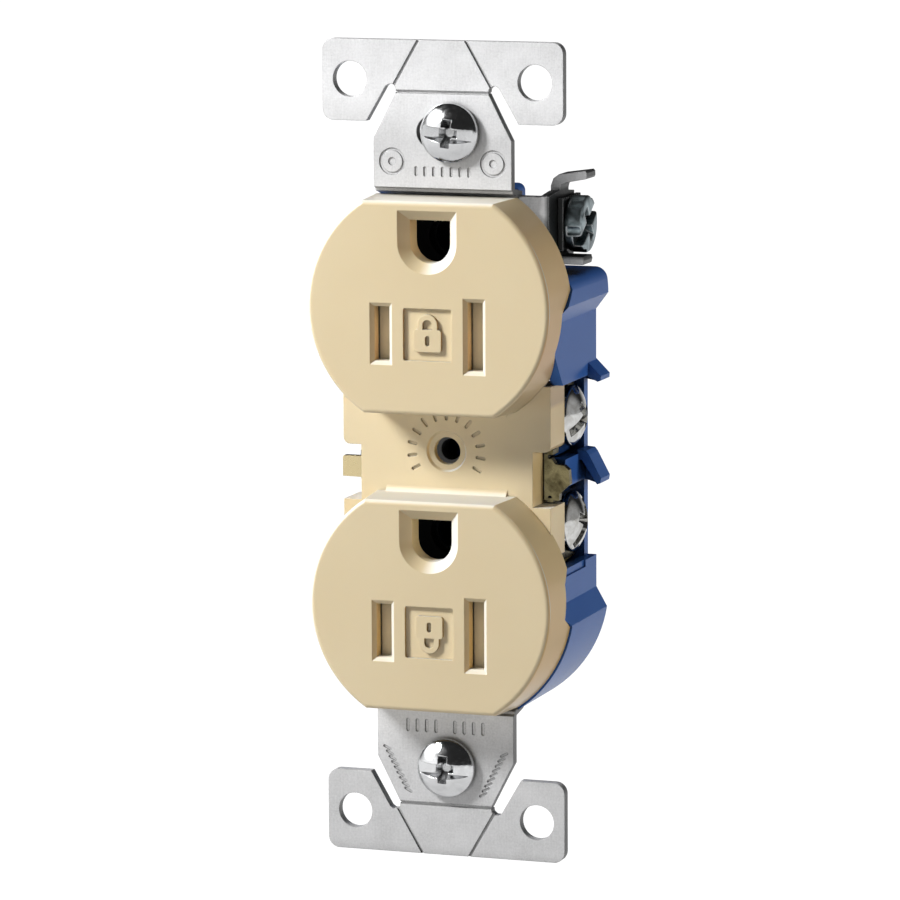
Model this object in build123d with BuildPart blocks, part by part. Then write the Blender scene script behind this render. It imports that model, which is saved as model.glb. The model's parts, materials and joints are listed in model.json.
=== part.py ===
from build123d import *

import os
from math import cos, radians, sin, sqrt

# Duplex wall outlet. X to the right, Z up, the face looks along -Y and the wall
# box is on the +Y side. The origin is on the axis of the wall-plate screw, in the
# front plane of the strap. Everything is in millimetres.
# The hot side is at -X, the neutral side at +X.

# Receptacles and plug interface
PITCH = 38.9  # receptacle to receptacle
Z_UP = PITCH / 2
Z_LO = -PITCH / 2
BLADE_X = 6.35  # blade slot centres, either side of the middle
BLADE_DZ = -3.4  # blade line below each face's centre
GROUND_DZ = BLADE_DZ + 11.9  # ground pin above the blade line
blade_z = [z + BLADE_DZ for z in (Z_UP, Z_LO)]
ground_z = [z + GROUND_DZ for z in (Z_UP, Z_LO)]

# Dimensions shared by several pieces
STRAP_T = 1.3
SPINE_Y = 3.0  # front of the strap's middle part
SPINE_BACK = SPINE_Y + STRAP_T
SCREW_Z = 41.67  # box screws, 83.34 mm apart
RIVET_DZ = -5.2  # rivet below each ground pin
RIVET_HOLE_R = 1.22
TERM_Y = 11.15
TERM_Z = (3.95, -10.1)
PLATE_X = 12.4  # inner face of the terminal plates
PLATE_T = 0.8
PUSH_X = 11.2  # rear push-in wire holes
PUSH_Z = (7.3, -13.4)
SHANK_8 = 2.05  # No. 8-32 screws
SHANK_6 = 1.72  # No. 6-32 screws
HOLE_8 = SHANK_8 + 0.06
TAB_X = 12.2  # inner face of the strap's ground tab
TAB_T = 1.25
GND_Y = 10.0  # ground screw
GND_Z = 29.3
PAST = 1.0  # how far a cut or its sketch runs past the surface

parts = {}  # finished pieces by file name


def at_y(y):
    """Plane facing -Y at the given depth: local x is X and local y is Z."""
    return Plane(origin=(0, y, 0), x_dir=(1, 0, 0), z_dir=(0, -1, 0))


def at_x(x):
    """Plane facing +X: local x is Y and local y is Z."""
    return Plane(origin=(x, 0, 0), x_dir=(0, 1, 0), z_dir=(1, 0, 0))


def flip(points, x=1, z=1):
    """Points with their first and second coordinates multiplied by x and z."""
    return [(x * first, z * second) for first, second in points]


def both_halves(points):
    """Closed symmetric outline from its right half, listed top to bottom."""
    return points + flip(points[::-1], x=-1)


def placed(part, place):
    """Copy of a part at an offset or location."""
    with BuildPart() as copy:
        with Locations(place):
            add(part)
    return copy.part


def mirrored(part):
    """Copy of a part on the other side of X = 0."""
    with BuildPart() as copy:
        mirror(part, about=Plane.YZ)
    return copy.part


# ============================================================== face cover
FACE_Y = -6.2  # front of the receptacle faces
FACE_ROUND = 0.6
CAP_BACK = 1.6  # back edge of the round caps
CAP_R = 16.92  # cap radius at its back edge
CAP_FLAT = 13.92  # half height over the flats at the back edge
CAP_FLAT_FRONT = 13.78  # the same, PAST in front of the face
CAP_CLEAR = 18  # outer limit of the cuts that make the flats
CAP_DRAFT = 4.0  # degrees
CAP_WALL = 1.5
CAP_INNER_R = CAP_R - CAP_WALL - 0.15
FLOOR = 2.0
COVER_CLEAR_Y = 12  # behind the whole cover; the inside is cut from here

BRIDGE_Y = 1.0  # front of the bridge between the caps
BRIDGE_BACK = 6.8
BRIDGE_X = 14.25
BRIDGE_TOP = 9.0
BRIDGE_BOTTOM = -13.5
BRIDGE_INNER_Y = 2.4
BRIDGE_INNER_X = 12.9
ROOT_X = 8.3  # soft root of the caps: half length
ROOT_NEAR, ROOT_FAR = 4.8, 6.5  # its distances from the middle
ROOT_BACK, ROOT_FRONT = BRIDGE_Y + 0.3, BRIDGE_Y - 0.75

NOTCH_TOP = 0.4  # side notches at the break-off links
NOTCH_BOTTOM = -6.9
NOTCH_X = 11.8
NOTCH_WALL = 1.3  # above and below the notch
NOTCH_INNER_X = 10.6
NOTCH_ROUND = 0.9

HOT_SLOT = (2.06, 7.07)
NEUTRAL_SLOT = (2.06, 8.9)
SLOT_MOUTH = 0.5
GROUND_W = 5.46
GROUND_TOP = 2.85  # flat top of the ground hole above its centre
GROUND_MOUTH = 1.3  # funnel at its mouth
GROUND_TUBE = (8.2, GROUND_W + 2.2)

MARK_DZ = 0.05  # mark recess above the blade line
MARK_DEPTH = 0.5
LOCK_DZ = 0.75  # padlock body from the mark's centre
SHACKLE_DZ = 0.7
DISH_R, DISH_DEPTH = 2.5, 0.35
PLATE_SCREW_HOLE_R = 1.8
DASH_RING_R, DASH_DEPTH = 4.75, 0.25
DASH_COUNT = 13
DASH_FIRST, DASH_LAST = 208, -28  # degrees

# right half of the bridge's inside (x, z), drawn in where the notches are
BRIDGE_INSIDE = [
    (BRIDGE_INNER_X, 7.6), (BRIDGE_INNER_X, NOTCH_TOP + NOTCH_WALL),
    (NOTCH_INNER_X, NOTCH_TOP + NOTCH_WALL), (NOTCH_INNER_X, NOTCH_BOTTOM - NOTCH_WALL),
    (BRIDGE_INNER_X, NOTCH_BOTTOM - NOTCH_WALL), (BRIDGE_INNER_X, -12.2),
]
# cuts for the rear body's latch tongues (y, z)
TONGUE_CUT_X = 13.75
TONGUE_CUTS = [
    [(9, 22.55), (1.75, 21.8), (-1.5, 18.85), (-1.5, 13.8), (2.3, 8.95), (9, 8.95)],
    [(9, -13.45), (2.7, -13.65), (-0.1, -16.5), (-0.6, -21.1), (1.7, -22.5), (9, -22.6)],
]


def in_face_plane(edge):
    """True for edges that lie in the front plane of the receptacle faces."""
    return (
        abs(edge.center().Y - FACE_Y) < 0.01
        and abs(edge.bounding_box().size.Y) < 0.01
    )


with BuildPart() as face_cover:
    # two drafted round caps with flats above and below
    for cap_z in (Z_UP, Z_LO):
        with BuildSketch(at_y(CAP_BACK)):
            with Locations((0, cap_z)):
                Circle(CAP_R)
        extrude(amount=CAP_BACK - FACE_Y, taper=CAP_DRAFT)
        with BuildSketch(at_x(-20)):
            for end in (1, -1):
                with BuildLine():
                    Polyline(
                        (CAP_BACK, cap_z + end * CAP_FLAT),
                        (FACE_Y - PAST, cap_z + end * CAP_FLAT_FRONT),
                        (FACE_Y - PAST, cap_z + end * CAP_CLEAR),
                        (CAP_BACK, cap_z + end * CAP_CLEAR),
                        close=True,
                    )
                make_face()
        extrude(amount=40, mode=Mode.SUBTRACT)
    # bridge with its side walls
    with BuildSketch(at_y(BRIDGE_BACK)):
        with Locations((0, (BRIDGE_TOP + BRIDGE_BOTTOM) / 2)):
            Rectangle(2 * BRIDGE_X, BRIDGE_TOP - BRIDGE_BOTTOM)
    extrude(amount=BRIDGE_BACK - BRIDGE_Y)
    # soft root where the caps rise from the bridge
    for end in (1, -1):
        root_start = (BRIDGE_Y - 0.02, end * ROOT_NEAR)
        root_end = (ROOT_FRONT, end * 5.58)
        with BuildSketch(at_x(-ROOT_X)):
            with BuildLine():
                Line((ROOT_BACK, end * ROOT_NEAR), root_start)
                ThreePointArc(root_start, (BRIDGE_Y - 0.25, end * 5.28), root_end)
                Polyline(root_end, (ROOT_FRONT, end * ROOT_FAR),
                         (ROOT_BACK, end * ROOT_FAR), (ROOT_BACK, end * ROOT_NEAR))
            make_face()
        extrude(amount=2 * ROOT_X)
    # rounded front edge of each face
    fillet(face_cover.edges().filter_by(in_face_plane), radius=FACE_ROUND)
    # inside of the caps
    for cap_z in (Z_UP, Z_LO):
        with BuildSketch(at_y(COVER_CLEAR_Y)):
            with Locations((0, cap_z)):
                Circle(CAP_INNER_R)
                Rectangle(3 * CAP_R, 2 * (CAP_FLAT - CAP_WALL), mode=Mode.INTERSECT)
        extrude(amount=COVER_CLEAR_Y - (FACE_Y + FLOOR), mode=Mode.SUBTRACT)
    # inside of the bridge
    with BuildSketch(at_y(COVER_CLEAR_Y)):
        with BuildLine():
            Polyline(*both_halves(BRIDGE_INSIDE), close=True)
        make_face()
    extrude(amount=COVER_CLEAR_Y - BRIDGE_INNER_Y, mode=Mode.SUBTRACT)
    # tubes that lead the ground pins
    for pin_z in ground_z:
        with BuildSketch(at_y(-2.3)):
            with Locations((0, pin_z)):
                SlotOverall(*GROUND_TUBE, rotation=90)
        extrude(amount=2.6)
    # side notches over the break-off links
    with BuildSketch(at_y(9)):
        for side in (-1, 1):
            with Locations((side * (NOTCH_X + 5), (NOTCH_TOP + NOTCH_BOTTOM) / 2)):
                Rectangle(10, NOTCH_TOP - NOTCH_BOTTOM)
    extrude(amount=12, mode=Mode.SUBTRACT)
    notch_corner = (
        face_cover.edges()
        .filter_by(Axis.Y)
        .filter_by(lambda edge: abs(abs(edge.center().X) - BRIDGE_X) < 0.05)
        .filter_by(lambda edge: abs(edge.center().Z - NOTCH_TOP) < 0.05)
    )
    fillet(notch_corner, radius=NOTCH_ROUND)
    # cut back where the rear body's latch tongues come forward
    for side in (-1, 1):
        with BuildSketch(at_x(side * TONGUE_CUT_X)):
            for outline in TONGUE_CUTS:
                with BuildLine():
                    Polyline(*outline, close=True)
                make_face()
        extrude(amount=side * 6, mode=Mode.SUBTRACT)
    # blade slots, ground holes and their lead-in
    for slot_z, pin_z in zip(blade_z, ground_z):
        with BuildSketch(at_y(-1)):
            with Locations((-BLADE_X, slot_z)):
                Rectangle(*HOT_SLOT)
            with Locations((BLADE_X, slot_z)):
                Rectangle(*NEUTRAL_SLOT)
        extrude(amount=8, mode=Mode.SUBTRACT)
        with BuildSketch(at_y(0)):
            with Locations((0, pin_z)):
                Circle(GROUND_W / 2)
                with Locations((0, GROUND_TOP / 2)):
                    Rectangle(GROUND_W, GROUND_TOP)
        extrude(amount=9, mode=Mode.SUBTRACT)
    slot_mouth = face_cover.edges().filter_by(
        lambda edge: in_face_plane(edge)
        and 4.5 < abs(edge.center().X) < 8.5
        and any(abs(edge.center().Z - z) < 5 for z in blade_z)
    )
    chamfer(slot_mouth, length=SLOT_MOUTH)
    ground_mouth = face_cover.edges().filter_by(
        lambda edge: in_face_plane(edge)
        and abs(edge.center().X) < 3.2
        and any(abs(edge.center().Z - z) < 3.3 for z in ground_z)
    )
    chamfer(ground_mouth, length=GROUND_MOUTH)
    # square mark recess between the blade slots, with a plain raised padlock;
    # the lower padlock stands on its head
    for slot_z, up in zip(blade_z, (1, -1)):
        mark_z = slot_z + MARK_DZ
        lock_z = mark_z - up * LOCK_DZ
        with BuildSketch(at_y(FACE_Y + MARK_DEPTH)):
            with Locations((0, mark_z)):
                RectangleRounded(6.6, 6.8, 0.3)
            with Locations((0, mark_z + up * SHACKLE_DZ)):
                SlotOverall(3.9, 2.7, rotation=90, mode=Mode.SUBTRACT)
                SlotOverall(2.5, 1.3, rotation=90)
            with Locations((0, lock_z)):
                RectangleRounded(3.7, 2.9, 0.35, mode=Mode.SUBTRACT)
        extrude(amount=2, mode=Mode.SUBTRACT)
        # keyhole
        with BuildSketch(at_y(FACE_Y + MARK_DEPTH)):
            with Locations((0, lock_z)):
                SlotOverall(1.3, 0.6, rotation=90)
        extrude(amount=2, mode=Mode.SUBTRACT)
    # wall-plate screw hole in a shallow dish, with plain dashes around it
    with BuildSketch(at_y(BRIDGE_Y + DISH_DEPTH)):
        Circle(DISH_R)
    extrude(amount=1, taper=-35, mode=Mode.SUBTRACT)
    with BuildSketch(at_y(6)):
        Circle(PLATE_SCREW_HOLE_R)
    extrude(amount=8, mode=Mode.SUBTRACT)
    with BuildSketch(at_y(BRIDGE_Y + DASH_DEPTH)):
        for i in range(DASH_COUNT):
            angle = DASH_FIRST + (DASH_LAST - DASH_FIRST) * i / (DASH_COUNT - 1)
            with Locations((DASH_RING_R * cos(radians(angle)),
                            DASH_RING_R * sin(radians(angle)))):
                SlotOverall(1.35, 0.42, rotation=angle)
    extrude(amount=1, mode=Mode.SUBTRACT)
parts["face_cover"] = face_cover.part

# ================================================================ rear body
BODY_R = 17.2
BODY_BACK = 16.9
BODY_SIDE = 15.5
BODY_HALF = 35.0
BODY_WALL = 1.6
BODY_INNER = BODY_BACK - BODY_WALL  # front of the rear wall
WALL_MID = BODY_BACK - BODY_WALL / 2  # inner features are rooted here
STRIP_X = 14.2  # side of the body along the terminal screws
BAY_TOP, BAY_BOTTOM = 9.05, -15.3  # terminal screw bays
BAY_Z = (BAY_TOP + BAY_BOTTOM) / 2
BAY_H = BAY_TOP - BAY_BOTTOM
BAY_INNER_X = 13.3
SHOULDER_Z = 23.0  # floor of the ground terminal pocket
SHOULDER_ROUND = 1.7
FLANK_X = 10.1  # side of the body beside the ground terminal
FLANK_INNER_X = 8.5
END_FRONT = 4.45  # front of the walls behind the strap
STRAP_SEAT_Y = 4.42
STRAP_SEAT_Z, STRAP_SEAT_H = 34.3, 4.2
NECK_X = 9.4  # half width of the strap's neck
HUMP_X = 5.75  # half width of the raised end over the upper ground contact
HUMP_INNER_X = 4.3
HUMP_TOP = 33.7
HUMP_ROOT = 30.5
HUMP_WALL = 1.3
HUMP_ROUND = 1.0
RIB_FRONT = 6.2
PUSH_R = 1.1
RELEASE_X = 8.6
RELEASE_SLOT = (2.2, 1.2)
REAR_CHAMFER = 0.4

# where the round ends meet the straight parts of the outline
upper_join_z = Z_UP + 0.2
lower_join_z = -22.2
upper_join_x = sqrt(BODY_R**2 - (upper_join_z - Z_UP) ** 2)
lower_join_x = sqrt(BODY_R**2 - (lower_join_z - Z_LO) ** 2)
end_x = sqrt(BODY_R**2 - (BODY_HALF - Z_UP) ** 2)
# right half of the outline (x, z), top to bottom
upper_arc = [
    (end_x, BODY_HALF),
    (BODY_R * cos(radians(32)), Z_UP + BODY_R * sin(radians(32))),
    (upper_join_x, upper_join_z),
]
flank = [
    (upper_join_x, upper_join_z), (BODY_SIDE, 17.4), (BODY_SIDE, -19.6),
    (lower_join_x, lower_join_z),
]
lower_arc = [
    (lower_join_x, lower_join_z),
    (BODY_R * cos(radians(-38)), Z_LO + BODY_R * sin(radians(-38))),
    (end_x, -BODY_HALF),
]
# material in front of the body's front edge (y, z): level with the caps,
# forward at the tongues, back behind the bridge's side walls
FRONT_CUT = [
    (-5, 40), (1.65, 40), (1.65, 21.7), (-1.4, 18.75), (-1.4, 13.85), (2.4, 9.05),
    (6.9, 9.05), (6.9, -13.55), (2.8, -13.75), (0.0, -16.6), (-0.5, -21.0),
    (1.65, -22.35), (1.65, -40), (-5, -40),
]
# slanted wire guides and the thin webs beside them (x, z)
WIRE_GUIDES = [
    [(13.9, 10.3), (15.5, 10.7), (17.25, 8.95), (17.2, 8.35), (16.8, 8.2), (14.9, 9.1),
     (13.9, 9.1)],
    [(13.9, -0.9), (15.2, -1.0), (15.6, -1.5), (17.25, -4.6), (17.15, -5.25),
     (16.7, -5.4), (14.6, -2.2), (13.9, -2.2)],
]
GUIDE_WEBS = [
    [(14.0, 9.3), (15.5, 10.0), (16.8, 8.3), (15.6, 7.9), (14.0, 8.2)],
    [(14.0, -1.5), (15.4, -1.5), (16.9, -5.3), (15.7, -5.7), (14.0, -5.2)],
]
GUIDE_L, WEB_T = 3.9, 0.8
# shallow step in each side just below the bay (y, z)
SIDE_STEP = [(0.6, -16.2), (11.8, -16.2), (11.8, -15.0), (-0.2, -15.0)]
SIDE_STEP_DEPTH = 0.25
# material removed on either side of the raised end (y, z)
HUMP_STEP = [
    (-2, 40), (-2, 32.05), (12.6, 32.05), (BODY_BACK + PAST, 31.1), (BODY_BACK + PAST, 40),
]

with BuildPart() as rear_body:
    # outer shape: round ends that fit the caps, straight sides
    with BuildSketch(at_y(BODY_BACK)) as body_outline:
        with BuildLine():
            ThreePointArc(*upper_arc)
            Polyline(*flank)
            ThreePointArc(*lower_arc)
            Line((end_x, -BODY_HALF), (-end_x, -BODY_HALF))
            ThreePointArc(*flip(lower_arc[::-1], x=-1))
            Polyline(*flip(flank[::-1], x=-1))
            ThreePointArc(*flip(upper_arc[::-1], x=-1))
            Line((-end_x, BODY_HALF), (end_x, BODY_HALF))
        make_face()
    extrude(amount=BODY_BACK + 1.4)
    # front edge against the cover
    with BuildSketch(at_x(-30)):
        with BuildLine():
            Polyline(*FRONT_CUT, close=True)
        make_face()
    extrude(amount=60, mode=Mode.SUBTRACT)
    # inside, open to the front
    with BuildSketch(at_y(BODY_INNER)):
        offset(body_outline.sketch_local, amount=-BODY_WALL)
        with Locations((0, BAY_Z)):
            Rectangle(40, BAY_H - 0.2, mode=Mode.SUBTRACT)
        with Locations((0, BAY_Z)):
            Rectangle(2 * BAY_INNER_X, BAY_H + 0.4)
    extrude(amount=30, mode=Mode.SUBTRACT)
    # sides along the terminal screws: open pockets over a narrow rear strip
    for side in (-1, 1):
        with BuildSketch(at_y(BODY_INNER)):
            with Locations((side * 16.3, BAY_Z)):
                Rectangle(6.0, BAY_H)
        extrude(amount=20, mode=Mode.SUBTRACT)
        with BuildSketch(at_y(BODY_BACK + PAST)):
            with Locations((side * (STRIP_X + 2.5), BAY_Z)):
                Rectangle(5.0, BAY_H)
        extrude(amount=20, mode=Mode.SUBTRACT)
        # barrier between the two screws
        with BuildSketch(at_y(WALL_MID)):
            with Locations((side * 12.5, -3.25)):
                Rectangle(3.4, 3.7)
        extrude(amount=8.8)
        # rails that carry the terminal plates
        with BuildSketch(at_y(WALL_MID)):
            for z in (-0.75, -6.1):
                with Locations((side * 11.7, z)):
                    Rectangle(1.2, 0.9)
        extrude(amount=7.2)
    # ground terminal pocket, top right, and its walls
    with BuildSketch(at_y(BODY_BACK + PAST)):
        with Locations((FLANK_X + 10, SHOULDER_Z + 10)):
            Rectangle(20, 20)
    extrude(amount=30, mode=Mode.SUBTRACT)
    with BuildSketch(at_y(BODY_BACK)):
        with BuildLine():
            Polyline(
                (FLANK_INNER_X, SHOULDER_Z - BODY_WALL), (16.0, SHOULDER_Z - BODY_WALL),
                (16.0, SHOULDER_Z), (FLANK_X, SHOULDER_Z), (FLANK_X, BODY_HALF),
                (FLANK_INNER_X, BODY_HALF), close=True,
            )
        make_face()
    extrude(amount=BODY_BACK - END_FRONT)
    with BuildSketch(at_y(4.5)):
        with Locations((14.7, SHOULDER_Z - BODY_WALL / 2)):
            Rectangle(3.6, BODY_WALL)
    extrude(amount=4.5 - 1.65)
    # the wide part of the strap and its ground tab lie in the front edge
    with BuildSketch(at_y(STRAP_SEAT_Y)):
        for end in (1, -1):
            with Locations((0, end * STRAP_SEAT_Z)):
                Rectangle(2 * (NECK_X + 0.06), STRAP_SEAT_H)
        with Locations((8.5, 28.9)):
            Rectangle(9, 9.4)
    extrude(amount=10, mode=Mode.SUBTRACT)
    # rounded shoulder corner
    shoulder = (
        rear_body.edges()
        .filter_by(Axis.Y)
        .filter_by(lambda edge: abs(edge.center().Z - SHOULDER_Z) < 0.05
                   and edge.center().X > 15.5)
    )
    fillet(shoulder, radius=SHOULDER_ROUND)
    # ribs that part hot, ground and neutral, and seats for the wire springs
    with BuildSketch(at_y(WALL_MID)):
        for side in (-1, 1):
            with Locations((side * 4.0, 0)):
                Rectangle(0.8, 66)
        for z in (4.6, -20.0):
            with Locations((0, z)):
                Rectangle(8, 0.9)
        for side in (-1, 1):
            for z in PUSH_Z:
                with Locations((side * 6.8, z)):
                    Rectangle(0.8, 3.0)
    extrude(amount=WALL_MID - RIB_FRONT)
    # slanted wire guides on the rear edge, each with a thin web
    for side in (-1, 1):
        with BuildSketch(at_y(BODY_BACK)):
            for outline in WIRE_GUIDES:
                with BuildLine():
                    Polyline(*flip(outline, x=side), close=True)
                make_face()
        extrude(amount=GUIDE_L)
        with BuildSketch(at_y(BODY_BACK)):
            for outline in GUIDE_WEBS:
                with BuildLine():
                    Polyline(*flip(outline, x=side), close=True)
                make_face()
        extrude(amount=WEB_T)
        with BuildSketch(at_x(side * (BODY_SIDE - SIDE_STEP_DEPTH))):
            with BuildLine():
                Polyline(*SIDE_STEP, close=True)
            make_face()
        extrude(amount=side * 1.0, mode=Mode.SUBTRACT)
    # rear face: push-in wire holes and release slots
    with BuildSketch(at_y(BODY_BACK + PAST)):
        for side in (-1, 1):
            for z in PUSH_Z:
                with Locations((side * PUSH_X, z)):
                    Circle(PUSH_R)
                with Locations((side * RELEASE_X, z)):
                    Rectangle(*RELEASE_SLOT)
    extrude(amount=4, mode=Mode.SUBTRACT)
    # rear face: upright groove in the middle and a recess near each end
    with BuildSketch(at_y(BODY_BACK + PAST)):
        with Locations((0, -3.0)):
            RectangleRounded(2.6, 14.0, 1.2)
        for z in (27.5, -29.5):
            with Locations((0, z)):
                RectangleRounded(13, 5, 1.5)
    extrude(amount=PAST + 0.5, mode=Mode.SUBTRACT)
    # upper end: raised over the ground contact, stepped down on either side of it
    for side, reach in ((1, FLANK_X), (-1, 11.6)):
        with BuildSketch(at_y(BODY_BACK)):
            with Locations((side * (HUMP_INNER_X + HUMP_X) / 2, (HUMP_ROOT + HUMP_TOP) / 2)):
                Rectangle(HUMP_X - HUMP_INNER_X, HUMP_TOP - HUMP_ROOT)
            with Locations((side * (HUMP_INNER_X + reach) / 2, 31.3)):
                Rectangle(reach - HUMP_INNER_X, 1.6)
        extrude(amount=BODY_BACK - END_FRONT)
    with BuildSketch(at_y(BODY_BACK)):
        with Locations((0, HUMP_TOP - HUMP_WALL / 2)):
            Rectangle(2 * HUMP_X, HUMP_WALL)
    extrude(amount=BODY_BACK - END_FRONT)
    with BuildSketch(at_y(BODY_BACK + PAST)):
        with Locations((0, HUMP_TOP + 3)):
            Rectangle(40, 6)
    extrude(amount=BODY_BACK + 4, mode=Mode.SUBTRACT)
    for side in (1, -1):
        with BuildSketch(at_x(side * HUMP_X)):
            with BuildLine():
                Polyline(*HUMP_STEP, close=True)
            make_face()
        extrude(amount=side * 14, mode=Mode.SUBTRACT)
    # pocket bore for the ground screw's end
    with BuildSketch(at_x(7)):
        with Locations((GND_Y, GND_Z)):
            Circle(2.5)
    extrude(amount=4, mode=Mode.SUBTRACT)
    hump = (
        rear_body.edges()
        .filter_by(Axis.Y)
        .filter_by(lambda edge: abs(edge.center().Z - HUMP_TOP) < 0.05
                   and abs(abs(edge.center().X) - HUMP_X) < 0.05 and edge.length > 3)
    )
    fillet(hump, radius=HUMP_ROUND)
    rear_rim = (
        rear_body.faces()
        .sort_by(Axis.Y)[-1]
        .outer_wire()
        .edges()
        .filter_by(lambda edge: abs(edge.center().Z) > 12)
    )
    chamfer(rear_rim, length=REAR_CHAMFER)
parts["rear_body"] = rear_body.part

# =================================================================== strap
STRAP_HALF = 53.5  # overall 107 mm
EAR_X = 16.4
EAR_BOTTOM = 42.9
EAR_ROUND = 1.5
EAR_HOLE_X = 12.6
EAR_HOLE_Z = 48.3
EAR_HOLE_R = 2.33
NECK_TOP = 40.7
CREASE_Z = 46.8
CREASE_X = 6.2
CREASE_W = 0.42
CREASE_DEPTH = 0.28
JOG_Z = 34.4  # where the neck steps back behind the cover
SLOT_L = 7.0
SLOT_W = 4.2
PIN_HOLE_R = 2.9
COLLAR_R = 2.7
TAP_R = 1.4  # tapped hole for the wall-plate screw, No. 6-32
STAMP_DEPTH = 0.14
RING_X, RING_Z = 6.9, 37.75  # stamped rings

# upper end of the strap; the lower end has the same outlines with z negated
NECK = [  # right half (x, z), bottom to top
    (NECK_X, JOG_Z), (NECK_X, NECK_TOP), (CREASE_X, CREASE_Z), (CREASE_X, 49),
]
EAR_SLIT = [  # opening between neck and ear (x, z)
    (10.45, 42.8), (7.75, 47.45), (7.3, 47.75), (6.8, 47.72), (6.38, 47.35),
    (6.28, 46.75), (8.3, 42.8),
]
EAR_SCORE = [(3.0, 53.6), (3.35, 53.6), (6.85, 47.6), (6.5, 47.5)]  # (x, z)
JOG = [  # step back behind the cover (y, z)
    (0, JOG_Z + 0.05), (STRAP_T, JOG_Z + 0.05), (2.3, 34.3), (SPINE_BACK, 33.95),
    (SPINE_BACK, 33.1), (SPINE_Y, 33.1), (1.8, 33.52), (0.62, 33.85),
    (0.5, JOG_Z - 0.15), (0.05, JOG_Z),
]
SPINE = [  # right half of the middle part (x, z)
    (NECK_X, 33.6), (NECK_X, 33.3), (5.2, 31.8), (5.2, 23.6), (3.0, 22.4), (3.0, 7.4),
    (4.8, 6.0), (4.8, -5.2), (4.8, -16.8), (3.0, -18.0), (3.0, -31.0), (NECK_X, -33.3),
    (NECK_X, -33.6),
]
# ground tab
TAB_LEAF = [  # (x, z)
    (4.0, 33.4), (TAB_X + 0.3, 33.4), (TAB_X + 0.3, 25.2), (9.4, 25.2), (7.6, 27.5),
    (4.0, 27.5),
]
TAB_WEB = [  # (y, z)
    (SPINE_Y, 33.4), (7.0, 33.8), (13.6, 33.3), (13.6, 25.6), (12.8, 24.4), (6.2, 24.4),
    (4.4, 25.2), (SPINE_Y, 25.2),
]
UPPER_LUG = [  # (x, z)
    (TAB_X, 33.2), (TAB_X, 34.4), (12.55, 35.35), (13.3, 35.9), (16.9, 36.4),
    (17.1, 36.15), (17.12, 35.6), (17.0, 35.35), (14.2, 34.8), (13.6, 34.5),
    (13.45, 33.9), (13.45, 33.2),
]
LOWER_LUG = [  # (x, z)
    (TAB_X, 26.2), (TAB_X, 25.3), (12.6, 24.65), (13.3, 24.35), (17.0, 24.35),
    (17.15, 24.9), (17.0, 25.4), (14.0, 25.4), (13.45, 26.0),
]
LUG_W = 3.6

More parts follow.
